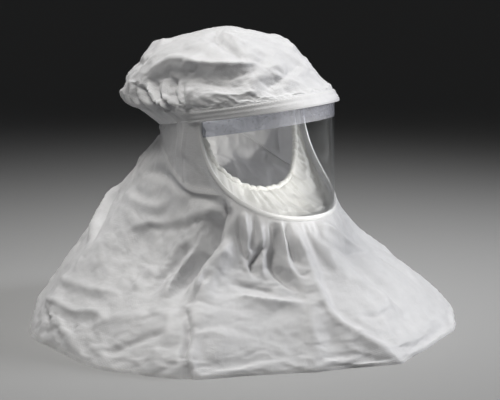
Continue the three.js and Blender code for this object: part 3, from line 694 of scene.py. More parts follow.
# crisp creases, laid on after the cloth has settled
crownCreases = [
    fold([(-114, 0.43), (-94, 0.54), (-72, 0.512), (-41, 0.488), (-25, 0.5)], 3.2, 12, 1, right=5),
    fold([(-60, 0.84), (-44, 0.72), (-36, 0.56), (-38, 0.5)], -2.6, 6, 0.9),
    fold([(-92, 0.46), (-92, 0.3), (-94, 0.17)], -4.5, 7, 0.7),
    fold([(-103, 0.42), (-101, 0.27), (-97, 0.16)], -4, 6, 0.7),
    fold([(-97, 0.42), (-97, 0.28), (-95, 0.16)], 2.8, 5, 1),
    fold([(-109, 0.4), (-105, 0.27), (-99, 0.15)], 2.8, 5, 1),
    fold([(-84, 0.42), (-87, 0.26), (-92, 0.15)], 2.4, 5, 1),
    fold([(-78, 0.3), (-84, 0.22), (-91, 0.13)], -2.4, 5, 0.8),
    fold([(-74, 0.38), (-58, 0.35), (-42, 0.33)], -1.6, 6, 1),
    fold([(-60, 0.6), (-42, 0.6), (-22, 0.56)], 1.6, 9, 1),
    fold([(-76, 0.62), (-58, 0.66), (-44, 0.66)], -1.8, 7, 0.9),
    fold([(-98, 0.66), (-78, 0.7), (-60, 0.78)], 2, 8, 1),
    fold([(14, 0.47), (-8, 0.38), (-34, 0.25)], -1.6, 8, 1),
    fold([(-2, 0.6), (-16, 0.45), (-20, 0.3)], 1.6, 9, 1),
]


def napeGathers(seed):
    # cloth gathered into the yoke behind the ears and round the nape
    draw = np.random.default_rng(seed)
    folds = []
    turn = -236.0
    while turn < -118:
        length = draw.uniform(0.14, 0.34)
        lean = draw.uniform(-4, 4)
        along = [(turn, 0.1), (turn + lean / 2, 0.1 + length / 2), (turn + lean, 0.1 + length)]
        folds.append(fold(along, draw.uniform(3.2, 5.2), draw.uniform(6, 9), 0.6, ends=(0.3, 0.5)))
        gap = draw.uniform(3.4, 5.2)
        along = [(turn + gap, 0.1), (turn + gap + lean, 0.12 + 0.8 * length)]
        folds.append(fold(along, -draw.uniform(3, 5), draw.uniform(5, 8), 0.5, ends=(0.3, 0.5)))
        turn += draw.uniform(7.5, 11)
    far = [
        dict(
            one, along=[(-place[0], place[1]) for place in one["along"]]
        ) for one in folds if one["along"][0][0] > -150
    ]
    return folds + far


crownTurns = np.linspace(-math.pi, math.pi, crownSizes["columns"], endpoint=False)
crownShares = np.linspace(0, 1, crownSizes["rows"])
turnGrid, shareGrid = np.meshgrid(crownTurns, crownShares)
plain = crownPlain(turnGrid.ravel(), shareGrid.ravel()).reshape(*turnGrid.shape, 3)
facing = gridNormals(plain, True)
flatPlain, flatFacing = plain.reshape(-1, 3), facing.reshape(-1, 3)
relief = foldRelief(flatPlain, flatFacing, crownPlain, crownFolds + napeGathers(crownSizes["seed"]))
unrolled = crownSizes["unrolled"] * (1 - shareGrid.ravel())
relief += flatCrumple(unrolled, turnGrid.ravel(), crownSizes["crumple"], crownSizes["crumpleSeed"])
clear = smooth((shareGrid.ravel() - brimShare) / (0.6 * brimShare))
belowFold = np.exp(-(((shareGrid.ravel() - 1.32 * brimShare) / (0.24 * brimShare)) ** 2))
relief -= crownSizes["pinch"] * belowFold * smooth(1.3 + np.cos(turnGrid.ravel()))
relief = relief * clear + seamGathers(turnGrid.ravel()) * smooth((0.34 - shareGrid.ravel()) / 0.24)
crownOuter = plain + facing * relief.reshape(turnGrid.shape)[..., None]
held = np.maximum(1 - smooth((shareGrid - 1.1 * brimShare) / (0.5 * brimShare)), smooth((shareGrid - 0.97) / 0.02))
crownOuter = buckle("crown", crownOuter, held, smooth((shareGrid - 0.7) / 0.2), **crownSizes["buckle"])
facing = gridNormals(crownOuter, True)
relief = foldRelief(crownOuter.reshape(-1, 3), facing.reshape(-1, 3), crownPlain, crownCreases)
relief += flatCrumple(unrolled, turnGrid.ravel(), crownSizes["fine"], crownSizes["fineSeed"])
relief *= smooth((shareGrid.ravel() - brimShare) / (1.3 * brimShare))
crownOuter += facing * relief.reshape(turnGrid.shape)[..., None]
capRow = int(np.searchsorted(crownShares, crownSizes["capShare"]))
capRing, t = crownOuter[capRow], np.linspace(0, 1, crownSizes["rows"] - capRow)[:, None, None]
capTop = capRing.mean(0) + (0, 0, crownSizes["capRise"])
crownOuter[capRow:] = mix(capRing, capTop, np.concatenate([t, t, t * (2 - t)], 2))
crownFacing = gridNormals(crownOuter, True)
crownFacing[-1] = (0, 0, 1)
crown = shell(
    "crown_bag", crownOuter.copy(), crownOuter - crownSizes["thickness"] * crownFacing, ring=True, pole=True
)
finishPiece(crown, coatedCloth, "coated_cloth", "crown")

# Brim band.
brimSizes = dict(turn=97, wall=2.0, clear=0.75, columns=260, rows=18, edge=0.7, ripple=0.22, taper=9, seamRow=15)
brimTurns = np.radians(np.linspace(-brimSizes["turn"], brimSizes["turn"], brimSizes["columns"]))
low = wallPoint(brimTurns, crownEdge(brimTurns) - crownSizes["brimDrop"], brimSizes["clear"])
level = wallPoint(brimTurns, crownEdge(brimTurns), brimSizes["clear"])
step = 0.01
aside = crownPlain(brimTurns + step, brimShare) - crownPlain(brimTurns - step, brimShare)
rise = crownPlain(brimTurns, brimShare + step) - crownPlain(brimTurns, brimShare - step)
high = crownPlain(brimTurns, brimShare) + unit(np.cross(aside, rise)) * form["seamGap"]
share = np.linspace(0, 1, brimSizes["rows"])[:, None, None]
split = crownSizes["brimDrop"] / crownSizes["brimHeight"]
brimInside = np.where(share < split, mix(low, level, share / split), mix(level, high, (share - split) / (1 - split)))
brimFacing = gridNormals(brimInside, False)
brimFacing[0, :, 2] = 0
swell = brimSizes["wall"] * (0.7 + 0.3 * np.sin(math.pi * np.clip(share * 0.94 + 0.03, 0, 1)) ** 0.6)
swell += brimSizes["ripple"] * np.cos(2 * math.pi * 2.4 * share)
roll = brimSizes["edge"] * np.exp(-((share - 0.1) / 0.12) ** 2)
fromEnd = math.radians(brimSizes["turn"]) - np.abs(brimTurns)
taper = mix(0.2, 1.0, smooth(fromEnd / math.radians(brimSizes["taper"])))
brimOutside = brimInside + unit(brimFacing) * (swell + roll) * taper[None, :, None]
brim = shell("brim_band_cloth", brimOutside, brimInside)
finishPiece(brim, coatedCloth, "coated_cloth", "brim_band")
brimStitches = stitchRow("brim_stitches", brimOutside, brimSizes["seamRow"])

# Shroud.
shroudSizes = dict(
    hemWidth=600, hemFront=275, hemBack=292, hemSoftness=5,
    frontColumns=150, backColumns=270, rows=112, thickness=1.2, hemRow=3,
    collarRadius=118, slope=330, crumpleSeed=3, fineSeed=13,
    crumple=((64, 2.4), (30, 1.0), (13, 0.35)), fine=((21, 2.1), (10, 0.8)),
    buckle=dict(step=2, growth=0.035, frames=14, bending=0.4, cap=7.0, gravity=0.15),
)
# spread, fall at the chest, fall at the shoulders, fall at the back
shroudSlope = np.array([
    [0, 0, 0, 0],
    [0.14, 0.23, 0.27, 0.05],
    [0.28, 0.35, 0.41, 0.13],
    [0.42, 0.44, 0.5, 0.25],
    [0.56, 0.54, 0.58, 0.385],
    [0.7, 0.65, 0.67, 0.54],
    [0.84, 0.78, 0.78, 0.7],
    [0.94, 0.875, 0.88, 0.84],
    [1, 1, 1, 1],
])
hemCorners = np.array([
    [-152, 1], [-128, 1.03], [-93, 0.985], [-67, 0.95], [-50, 0.865], [-31, 0.89], [-8, 1], [10, 0.965],
    [30, 1], [56, 1.03], [90, 1], [118, 0.97], [150, 1.01], [178, 1],
])


def hemChord(turn):
    angles = np.radians(hemCorners[:, 0])
    reach = np.where(np.cos(angles) > 0, shroudSizes["hemFront"], shroudSizes["hemBack"])
    reaches = hemCorners[:, 1] / np.hypot(2 * np.sin(angles) / shroudSizes["hemWidth"], np.cos(angles) / reach)
    turn = wrapTurn(turn)
    after = np.searchsorted(angles, turn, side="right") % len(angles)
    before = (after - 1) % len(angles)
    a, b = angles[before], angles[after]
    ra, rb = reaches[before], reaches[after]
    return ra * rb * np.sin(wrapTurn(b - a)) / (ra * np.sin(wrapTurn(turn - a)) + rb * np.sin(wrapTurn(b - turn)))


def shroudEdge(turn):
    share = np.abs(wrapTurn(turn)) / math.radians(form["windowTurn"])
    square = form["windowSquareness"]
    drop = np.clip(1 - np.minimum(share, 1) ** square, 0, 1) ** (1 / square)
    rim = windowTop - (windowTop - form["chinHeight"]) * drop
    collar = collarEdge(turn) - form["seamGap"]
    return np.where(share >= 1, collar, np.minimum(rim, collar))


def shroudPlain(turn, down):
    turn, down = np.broadcast_arrays(turn, down)
    spread, front, side, back = (through(shroudSlope[:, k], down) for k in range(4))
    beyond = np.maximum(down - 1, 0)
    soft = math.radians(shroudSizes["hemSoftness"])
    reach = np.mean([hemChord(turn + step) for step in np.linspace(-soft, soft, 5)], 0)
    top = wallPoint(turn, shroudEdge(turn))
    x = mix(top[..., 0], reach * np.sin(turn), spread + beyond)
    y = mix(top[..., 1], -reach * np.cos(turn), spread + beyond)
    z = top[..., 2] * (1 - around(turn, front, side, back) - beyond)
    return np.stack([x, y, z], -1)


# folds of the shroud, with shares running down from its upper edge
shroudFolds = [
    fold(
        [(-65, 0.03), (-71, 0.09), (-73, 0.18), (-79, 0.28), (-80, 0.4), (-76, 0.54)], -17, 12, 0.6, right=24,
        ends=(0.08, 0.3)
    ),
    fold([(-63, 0.1), (-68, 0.2), (-72, 0.32), (-72, 0.5)], 13, 26, 0.7, right=14),
    fold([(-70, 0.3), (-72, 0.42), (-75, 0.55)], -5, 8, 0.8, right=7),
    fold([(-82, 0.17), (-85, 0.33), (-83, 0.5)], 8, 9, 0.8, right=13),
    fold([(-87, 0.14), (-90, 0.3), (-91, 0.52)], -8, 13, 0.5, right=16),
    fold([(-97, 0.3), (-99, 0.4), (-97, 0.5)], 4, 12, 0.7),
    fold(
        [(-76, 0.52), (-72, 0.63), (-70, 0.73), (-70, 0.85), (-68, 0.94), (-67, 1.04)], -6, 6, 0.9, right=11,
        ends=(0.12, 0.01)
    ),
    fold([(-80, 0.56), (-78, 0.75), (-79, 1.04)], 3.5, 18, 0.4, right=24, ends=(0.2, 0.01)),
    fold([(-122, 0.3), (-113, 0.175), (-101, 0.1), (-84, 0.062), (-68, 0.05)], 5, 26, 0.8, right=9, ends=(0.2, 0.1)),
    fold(
        [(-140, 0.12), (-122, 0.05), (-104, 0.012), (-80, 0.012), (-67, 0.04)], -9, 17, 0.3, right=12,
        ends=(0.2, 0.05)
    ),
    fold([(-140, 0.26), (-124, 0.17), (-106, 0.06)], 4.5, 14, 0.5),
    fold([(-160, 0.38), (-150, 0.44), (-136, 0.53)], 9, 18, 0.5, right=15),
    fold([(-150, 0.34), (-140, 0.44), (-128, 0.5)], -6, 14, 0.5),
    fold([(-134, 0.7), (-124, 0.665), (-113, 0.625), (-101, 0.55)], 4, 20, 0.85, right=12),
    fold([(-136, 0.83), (-124, 0.775), (-114, 0.76), (-104, 0.7), (-96, 0.73)], 4.5, 22, 0.85, right=14),
    fold([(-77, 0.71), (-84, 0.76), (-92, 0.92)], -4, 12, 0.7),
    fold([(-86, 0.6), (-96, 0.68), (-104, 0.8)], 3.5, 16, 0.6),
    fold([(-51, 0.0), (-50, 0.05), (-49, 0.11)], -6, 6, 0.5, ends=(0.02, 0.5)),
    fold([(-61, 0.04), (-57, 0.12), (-53, 0.22)], -5, 7, 0.5),
    fold([(-57, 0.02), (-55, 0.1), (-55, 0.24)], 5, 8, 0.7, ends=(0.1, 0.5)),
    fold([(-43, 0.08), (-49, 0.14), (-52, 0.2), (-49, 0.29)], -8, 8, 0.6, right=7),
    fold([(-47, 0.04), (-46, 0.12), (-47, 0.2), (-45, 0.3)], 5.5, 8, 0.7, ends=(0.1, 0.4)),
    fold(
        [(-38, 0.02), (-38, 0.08), (-41, 0.17), (-37, 0.28), (-30, 0.43)], -11, 13, 0.55, right=11, ends=(0.05, 0.3)
    ),
    fold([(-34, 0.0), (-33, 0.1), (-33, 0.22), (-28, 0.34)], 5, 8, 0.7, ends=(0.05, 0.4)),
    fold([(-30, 0.01), (-30, 0.1), (-28, 0.2)], -5, 7, 0.5, ends=(0.05, 0.5)),
    fold(
        [(-27, 0.03), (-22, 0.15), (-23, 0.4), (-22, 0.61), (-16, 0.75), (-10, 0.93), (-7, 1.04)], 8.5, 20, 0.8,
        right=52, ends=(0.1, 0.01)
    ),
    fold([(-29, 0.42), (-31, 0.7), (-33, 1.04)], 3, 22, 0.8, right=28, ends=(0.25, 0.01)),
    fold([(-58, 0.42), (-46, 0.46), (-30, 0.5)], 4.5, 12, 0.8, right=22),
    fold([(-62, 0.34), (-50, 0.36), (-42, 0.4)], -3.5, 10, 0.6),
    fold([(-6, 0.0), (6, 0.05), (20, 0.12), (34, 0.26)], 4.5, 9, 0.8, right=14, ends=(0.05, 0.4)),
    fold([(-12, 0.06), (4, 0.14), (22, 0.2), (32, 0.26)], -3.5, 9, 0.7),
    fold([(-12, 0.6), (-5, 0.63), (4, 0.62)], -2.5, 9, 0.7),
    fold([(14, 0.12), (13, 0.4), (10, 0.85)], -6, 26, 0.25),
    fold([(0, 0.3), (4, 0.5), (14, 0.7)], 3.5, 18, 0.6),
    fold([(46, 0.04), (45, 0.3), (40, 0.64)], -10, 20, 0.4, ends=(0.1, 0.3)),
    fold([(36, 0.04), (36, 0.2), (30, 0.4)], 5, 12, 0.7, ends=(0.1, 0.4)),
    fold([(60, 0.06), (62, 0.3), (66, 0.66)], 8, 20, 0.6),
    fold([(76, 0.04), (82, 0.3), (84, 0.64)], -12, 22, 0.4, ends=(0.1, 0.3)),
    fold([(70, 0.5), (64, 0.75), (60, 1.04)], -8, 22, 0.5, ends=(0.25, 0.01)),
    fold([(88, 0.5), (86, 0.75), (88, 1.04)], 6, 24, 0.5, ends=(0.25, 0.01)),
    fold([(124, 0.3), (108, 0.13), (76, 0.06)], 8, 9, 0.8, right=17),
    fold([(138, 0.12), (104, 0.015), (80, 0.012)], -8, 14, 0.3),
    fold([(142, 0.78), (120, 0.7), (98, 0.56)], 5, 26, 0.8, right=18),
    fold([(144, 0.9), (124, 0.84), (104, 0.8)], 4, 24, 0.7, right=18),
    fold([(118, 0.3), (114, 0.6), (112, 1.04)], -7, 24, 0.4, ends=(0.25, 0.01)),
    fold([(158, 0.2), (153, 0.6), (148, 1.04)], -10, 26, 0.4, ends=(0.25, 0.01)),
    fold([(176, 0.16), (178, 0.5), (182, 0.92)], 7, 26, 0.6),
    fold([(168, 0.1), (166, 0.3), (160, 0.5)], -5, 14, 0.5),
    fold([(-166, 0.25), (-160, 0.6), (-156, 1.04)], -9, 26, 0.4, ends=(0.25, 0.01)),
    fold([(-172, 0.06), (-170, 0.2), (-168, 0.36)], 5, 12, 0.7),
    fold([(-146, 0.6), (-143, 0.8), (-142, 1.04)], 5, 22, 0.5, ends=(0.25, 0.01)),
]

# crisp creases, laid on after the cloth has settled
shroudCreases = [
    fold(
        [(-126, 0.22), (-113, 0.19), (-101, 0.125), (-84, 0.078), (-69, 0.055)], -2.2, 4, 1, right=5, ends=(0.15, 0.1)
    ),
    fold(
        [(-67, 0.05), (-72, 0.11), (-75, 0.19), (-80, 0.29), (-81, 0.4), (-77, 0.56)], -8, 9, 0.7, right=11,
        ends=(0.06, 0.2)
    ),
    fold([(-65, 0.11), (-70, 0.21), (-74, 0.32), (-74, 0.52)], 3.6, 10, 1, right=6),
    fold([(-83, 0.18), (-87, 0.33), (-85, 0.5)], 3, 7, 1),
    fold([(-90, 0.2), (-94, 0.33), (-91, 0.46)], -3, 7, 0.8),
    fold(
        [(-76, 0.52), (-72, 0.63), (-70, 0.73), (-70, 0.85), (-68, 0.94), (-67, 1.0)], -2.4, 5, 1, right=8,
        ends=(0.12, 0.05)
    ),
    fold([(-51, 0.02), (-50, 0.06), (-50, 0.12)], -2.5, 4, 0.8),
    fold([(-43, 0.08), (-50, 0.14), (-53, 0.2), (-49, 0.3)], -4, 5, 0.8),
    fold([(-47, 0.05), (-46, 0.12), (-48, 0.2), (-45, 0.32)], 2.6, 5, 1),
    fold([(-38, 0.04), (-41, 0.17), (-37, 0.28), (-31, 0.4)], -4, 6, 0.8),
    fold([(-34, 0.03), (-33, 0.2), (-28, 0.34)], 2.6, 5, 1),
    fold([(-30, 0.03), (-30, 0.12), (-27, 0.22)], -2.6, 5, 0.8),
    fold(
        [(-27, 0.05), (-22, 0.15), (-23, 0.4), (-22, 0.61), (-16, 0.75), (-10, 0.93), (-7, 1.0)], 2, 14, 1, right=9,
        ends=(0.1, 0.05)
    ),
    fold([(-58, 0.4), (-46, 0.45), (-30, 0.49)], 2.4, 6, 1, right=12),
    fold([(-134, 0.7), (-124, 0.665), (-113, 0.625), (-101, 0.55)], 2.4, 12, 1, right=5),
    fold([(-136, 0.83), (-124, 0.775), (-114, 0.76), (-104, 0.7), (-96, 0.73)], 2.8, 13, 1, right=5),
    fold([(-77, 0.71), (-84, 0.76), (-92, 0.92)], -2, 6, 1),
    fold([(-6, 0.01), (6, 0.05), (20, 0.12), (34, 0.26)], 2.2, 6, 1, right=9, ends=(0.1, 0.4)),
    fold([(-62, 0.62), (-48, 0.66), (-34, 0.64)], 1.6, 10, 1),
    fold([(14, 0.12), (13, 0.4), (10, 0.85)], -2, 12, 0.9),
    fold([(-20, 0.78), (-8, 0.66), (6, 0.6)], 1.8, 9, 1),
    fold([(46, 0.04), (45, 0.3), (40, 0.64)], -3, 8, 0.8),
    fold([(76, 0.04), (82, 0.3), (84, 0.64)], -4, 9, 0.8),
    fold([(62, 0.06), (64, 0.3), (68, 0.66)], 3, 8, 1),
    fold([(158, 0.2), (153, 0.6), (148, 1.0)], -3, 9, 0.8, ends=(0.25, 0.05)),
    fold([(-166, 0.25), (-160, 0.6), (-156, 1.0)], -3, 9, 0.8, ends=(0.25, 0.05)),
]

chinAngles = np.linspace(-jawAngle, jawAngle, shroudSizes["frontColumns"] + 1)
chinTurns = windowPoint(chinAngles)[0]
jawTurn = windowPoint(jawAngle)[0]
backTurns = np.linspace(jawTurn, 2 * math.pi - jawTurn, shroudSizes["backColumns"] + 1)
shroudTurns = np.concatenate([chinTurns, backTurns[1:-1]])
shroudDowns = np.linspace(1, 0, shroudSizes["rows"])
turnGrid, downGrid = np.meshgrid(shroudTurns, shroudDowns)
plain = shroudPlain(turnGrid.ravel(), downGrid.ravel()).reshape(*turnGrid.shape, 3)
facing = gridNormals(plain, True)
flatPlain, flatFacing = plain.reshape(-1, 3), facing.reshape(-1, 3)
relief = foldRelief(flatPlain, flatFacing, shroudPlain, shroudFolds)
unrolled = shroudSizes["collarRadius"] + shroudSizes["slope"] * downGrid.ravel()
relief += flatCrumple(unrolled, turnGrid.ravel(), shroudSizes["crumple"], shroudSizes["crumpleSeed"])
relief = (relief * smooth(downGrid.ravel() / 0.05)).reshape(turnGrid.shape)
direction = facing.copy()
direction[..., 2] *= smooth((1 - downGrid) / 0.2)
shroudOuter = plain + direction * relief[..., None]
held = np.maximum(smooth((downGrid - 0.94) / 0.05), 1 - smooth((downGrid - 0.01) / 0.06)) + 0 * turnGrid
snug = smooth((downGrid - 0.5) / 0.42) + 0 * turnGrid
shroudOuter = buckle("shroud", shroudOuter, held, snug, **shroudSizes["buckle"])
facing = gridNormals(shroudOuter, True)
relief = foldRelief(shroudOuter.reshape(-1, 3), facing.reshape(-1, 3), shroudPlain, shroudCreases)
# the back and the cloth under the chin are the most wrinkled, the front panels nearly smooth
turn, down = wrapTurn(turnGrid.ravel()), downGrid.ravel()
wrinkles = dict(backTurn=1.25, backFade=0.4, chinTurn=-0.75, chinSpread=0.42, chinDown=0.18, chinFall=0.2, least=0.3)
wrinkled = smooth((np.abs(turn) - wrinkles["backTurn"]) / wrinkles["backFade"])
wrinkled += np.exp(
    -((turn - wrinkles["chinTurn"]) / wrinkles["chinSpread"]) ** 2
    - ((down - wrinkles["chinDown"]) / wrinkles["chinFall"]) ** 2
)
fine = flatCrumple(unrolled, turn, shroudSizes["fine"], shroudSizes["fineSeed"])
relief += fine * mix(wrinkles["least"], 1.0, np.clip(wrinkled, 0, 1)) * smooth((1 - down) / 0.08)
relief = (relief * smooth(down / 0.05)).reshape(turnGrid.shape)
direction = facing.copy()
direction[..., 2] *= smooth((1 - downGrid) / 0.2)
shroudOuter += direction * relief[..., None]
shroudOuter[..., 2] = np.maximum(shroudOuter[..., 2], 0)
shroudOuter[0, :, 2] = 0
shroudFacing = gridNormals(shroudOuter, True)
shroudFacing[0, :, 2] = 0
shroudFacing[-1, :, 2] = 0
shroudInner = shroudOuter - shroudSizes["thickness"] * unit(shroudFacing)
shroud = shell("shroud_cape", shroudOuter, shroudInner, ring=True)
finishPiece(shroud, coatedCloth, "coated_cloth", "shroud")
hemStitches = stitchRow("hem_stitches", shroudOuter, shroudSizes["hemRow"], closed=True)

# Yoke.
yokeSizes = dict(
    columns=300, rows=34, thickness=1.2, welt=2.4, weltWidth=7, seamRow=3, crumple=((36, 2.2), (16, 1.0)),
    crumpleSeed=9, height=90
)
yokeFolds = [
    fold([(-101, 0.02), (-102, 0.5), (-99, 0.98)], 2.6, 5, 0.8, ends=(0.1, 0.1)),
    fold([(-109, 0.05), (-111, 0.5), (-108, 0.95)], -2.2, 6, 0.6),
    fold([(-88, 0.4), (-90, 0.7), (-93, 0.98)], -2, 5, 0.6),
    fold([(-128, 0.1), (-124, 0.5), (-126, 0.9)], 2, 6, 0.6),
    fold([(104, 0.05), (106, 0.5), (101, 0.95)], 2.2, 6, 0.7),
    fold([(120, 0.1), (118, 0.6), (122, 0.95)], -2, 7, 0.5),
]
yokeTopAngle = windowAngle(0, lambda turn: crownEdge(turn) - form["seamGap"])
yokeShares = np.linspace(0, 1, yokeSizes["rows"])
yokeAngles = mix(jawAngle, yokeTopAngle, yokeShares)
frontTurn, frontHeight = windowPoint(yokeAngles)
across = np.linspace(0, 1, yokeSizes["columns"])[None, :]
yokeTurns = mix(frontTurn[:, None], 2 * math.pi - frontTurn[:, None], across)


def yokeLevel(turn, share):
    return mix(collarEdge(turn), crownEdge(turn) - form["seamGap"], share)


yokeLift = frontHeight - yokeLevel(frontTurn, yokeShares)
fade = 1 - smooth(4 * np.minimum(across, 1 - across))
yokeHeights = yokeLevel(yokeTurns, yokeShares[:, None]) + yokeLift[:, None] * fade
plain = wallPoint(yokeTurns, yokeHeights)
facing = gridNormals(plain, False)
flatPlain, flatFacing = plain.reshape(-1, 3), facing.reshape(-1, 3)
relief = foldRelief(flatPlain, flatFacing, lambda turn, share: wallPoint(turn, yokeLevel(turn, share)), yokeFolds)
relief += crumple(
    form["faceWidth"] / 2 * wrapTurn(yokeTurns.ravel()), flatPlain[:, 2], yokeSizes["crumple"],
    yokeSizes["crumpleSeed"]
)
upward, aside = yokeShares[:, None], np.minimum(across, 1 - across)
welt = yokeSizes["welt"] * np.exp(
    -((upward * yokeSizes["height"] / yokeSizes["weltWidth"]) ** 2)
) * smooth(20 * aside)
held = smooth(upward / 0.15) * smooth((1 - upward) / 0.15) * smooth(12 * aside)
gathers = seamGathers(yokeTurns) * smooth((upward - 0.45) / 0.5)
yokeOuter = plain + facing * (relief.reshape(held.shape) * held + welt + gathers)[..., None]
yoke = shell("neck_yoke_band", yokeOuter, yokeOuter - yokeSizes["thickness"] * gridNormals(yokeOuter, False))
finishPiece(yoke, coatedCloth, "coated_cloth", "neck_yoke")
yokeStitches = stitchRow("yoke_stitches", yokeOuter, yokeSizes["seamRow"])

# Visor, tape and brow strip.
visorSizes = dict(wall=1.0, sideSteps=30, chinSteps=110, rows=14)
visorSet = -(form["clothWall"] + form["seamGap"])
visorAngles = windowAngles(
    form["visorLap"], form["seamGap"] + form["visorLap"], visorSizes["sideSteps"], visorSizes["chinSteps"]
)
edgeTurns, edgeHeights = windowPoint(visorAngles, form["visorLap"])
share = np.linspace(0, 1, visorSizes["rows"])[:, None]
visorHeights = mix(edgeHeights[None, :], (crownEdge(edgeTurns) - form["seamGap"])[None, :], share)
visorTurns = np.broadcast_to(edgeTurns, visorHeights.shape)
visorOutside, visorInside = (
    wallPoint(visorTurns, visorHeights, visorSet - depth) for depth in (0, visorSizes["wall"])
)
visor = shell("visor_sheet", visorOutside, visorInside)
finishPiece(visor, clearVisor, "clear_sheet", "visor")

tapeSizes = dict(width=6, rows=9, proud=1.3, sideSteps=40, chinSteps=160)
tapeGrows = np.linspace(-form["seamGap"], -form["seamGap"] - tapeSizes["width"], tapeSizes["rows"])
tapeOutside, tapeInside = [], []
for grow, share in zip(tapeGrows, np.linspace(0, 1, tapeSizes["rows"])):
    angles = windowAngles(grow, form["seamGap"], tapeSizes["sideSteps"], tapeSizes["chinSteps"])
    turn, height = windowPoint(angles, grow)
    tapeOutside.append(wallPoint(turn, height, tapeSizes["proud"] * math.sin(math.pi * mix(0.08, 0.92, share))))
    tapeInside.append(wallPoint(turn, height, -form["clothWall"]))
tape = shell("window_tape", np.array(tapeOutside), np.array(tapeInside))
finishPiece(tape, weldedTape, "binding_tape", "visor_binding")

stripSizes = dict(drop=24, turn=87, wall=0.8, columns=90, rows=6)
stripSet = visorSet - visorSizes["wall"] - form["seamGap"]
stripTurns = np.radians(np.linspace(-stripSizes["turn"], stripSizes["turn"], stripSizes["columns"]))[None, :]
drops = mix(stripSizes["drop"], form["seamGap"], np.linspace(0, 1, stripSizes["rows"]))[:, None]
stripTurns = np.broadcast_to(stripTurns, (stripSizes["rows"], stripSizes["columns"]))
stripHeights = crownEdge(stripTurns) - drops
stripOutside, stripInside = (
    wallPoint(stripTurns, stripHeights, stripSet - depth) for depth in (0, stripSizes["wall"])
)
strip = shell("brow_strip_sheet", stripOutside, stripInside)
finishPiece(strip, frostedStrip, "frosted_sheet", "brow_strip")

# Face seal and its elastic.
sealSizes = dict(
    lap=1.5, margin=12, bulge=5, chinMargin=30, topDrop=5, setback=76, lean=4, squareness=2.4, slack=7,
    rows=46, sideSteps=36, chinSteps=150, thickness=1.0, gathers=24, gatherDepth=1.5, elastic=7.2,
    crumple=((30, 5.0), (14, 2.4)), seed=21, crumpleSeed=17,
)
sealAngles = windowAngles(
    sealSizes["lap"], form["seamGap"] + form["visorLap"], sealSizes["sideSteps"], sealSizes["chinSteps"]
)
rimAngles = sealAngles / sealAngles[-1] * math.pi / 2
power = 2 / sealSizes["squareness"]
down = np.abs(np.cos(rimAngles)) ** power
rimX = (form["faceWidth"] / 2 - sealSizes["margin"]) * np.sign(np.sin(rimAngles)) * np.abs(np.sin(rimAngles)) ** power
rimForward = (form["faceReach"] - sealSizes["setback"] + sealSizes["lean"]) * down ** 2.6 - sealSizes["lean"]
rimForward += sealSizes["bulge"] * np.sin(math.pi * down)
rimZ = mix(templeHeight - sealSizes["topDrop"], form["chinHeight"] + sealSizes["chinMargin"], down)
rim = np.stack([rimX, -rimForward, rimZ], -1)
edgeTurns, edgeHeights = windowPoint(sealAngles, sealSizes["lap"])
edge = wallPoint(edgeTurns, edgeHeights, stripSet)
share = np.linspace(0, 1, sealSizes["rows"])[:, None, None]
belly = 4 * share * (1 - share) * sealSizes["slack"] * np.array([0, -0.5, -1.0])
seal = mix(edge[None], rim[None], share) + belly
facing = gridNormals(seal, False)
run = np.concatenate([[0], np.cumsum(np.linalg.norm(np.diff(rim, axis=0), axis=1))])
draw = np.random.default_rng(sealSizes["seed"])
phase = run / run[-1] * sealSizes["gathers"] * 2 * math.pi
phase += 2.2 * np.interp(run, np.linspace(0, run[-1], 30), draw.uniform(-1, 1, 30))
strength = np.interp(run, np.linspace(0, run[-1], 40), draw.uniform(0.3, 1.4, 40))
gather = sealSizes["gatherDepth"] * np.sin(phase) * strength * smooth((share[..., 0] - 0.25) / 0.7)
across = np.broadcast_to(run[None, :] * 1.3, gather.shape).ravel()
upward = np.broadcast_to(share[..., 0] * 60, gather.shape).ravel()
relief = crumple(across, upward, sealSizes["crumple"], sealSizes["crumpleSeed"]).reshape(gather.shape)
relief = gather + relief * np.sin(math.pi * share[..., 0]) ** 0.5
sealOuter = seal + facing * relief[..., None]
sealPiece = shell("face_seal_cloth", sealOuter, sealOuter - sealSizes["thickness"] * gridNormals(sealOuter, False))
finishPiece(sealPiece, softCloth, "seal_cloth", "face_seal")


def cord(name, centres, aside, radius, sides):
    # a round cord through centres, with its own radius at each, closed at both ends
    run = unit(np.gradient(centres, axis=0))
    first = unit(aside - np.einsum("ij,ij->i", aside, run)[:, None] * run)
    second = np.cross(run, first)
    angles = np.arange(sides) / sides * 2 * math.pi
    reach = np.cos(angles)[None, :, None] * first[:, None] + np.sin(angles)[None, :, None] * second[:, None]
    points = centres[:, None] + reach * np.broadcast_to(radius, len(centres))[:, None, None]
    i, k = np.meshgrid(np.arange(len(centres) - 1), np.arange(sides), indexing="ij")
    i, k, n = i.ravel(), k.ravel(), (k.ravel() + 1) % sides
    faces = np.stack([i * sides + k, i * sides + n, (i + 1) * sides + n, (i + 1) * sides + k], 1).tolist()
    last = (len(centres) - 1) * sides
    faces += [list(range(sides))[::-1], [last + k for k in range(sides)]]
    mesh = bpy.data.meshes.new(name)
    mesh.from_pydata(placed(points.reshape(-1, 3)).tolist(), [], faces)
    uv = mesh.uv_layers.new(name="cloth")
    corners = np.array([v for face in faces for v in face])
    uv.data.foreach_set("uv", np.stack([corners // sides * 0.002, corners % sides * 0.001], 1).astype(float).ravel())
    mesh.validate()
    return addObject(name, mesh)


rimRow = sealOuter[-1]
rimAway = unit(rimRow - sealOuter[-4])
dense = np.linspace(0, 1, 420)
along = run / run[-1]
centres = spread(dense, along, rimRow + rimAway * (sealSizes["elastic"] / 2 + form["seamGap"]))
away = spread(dense, along, rimAway)
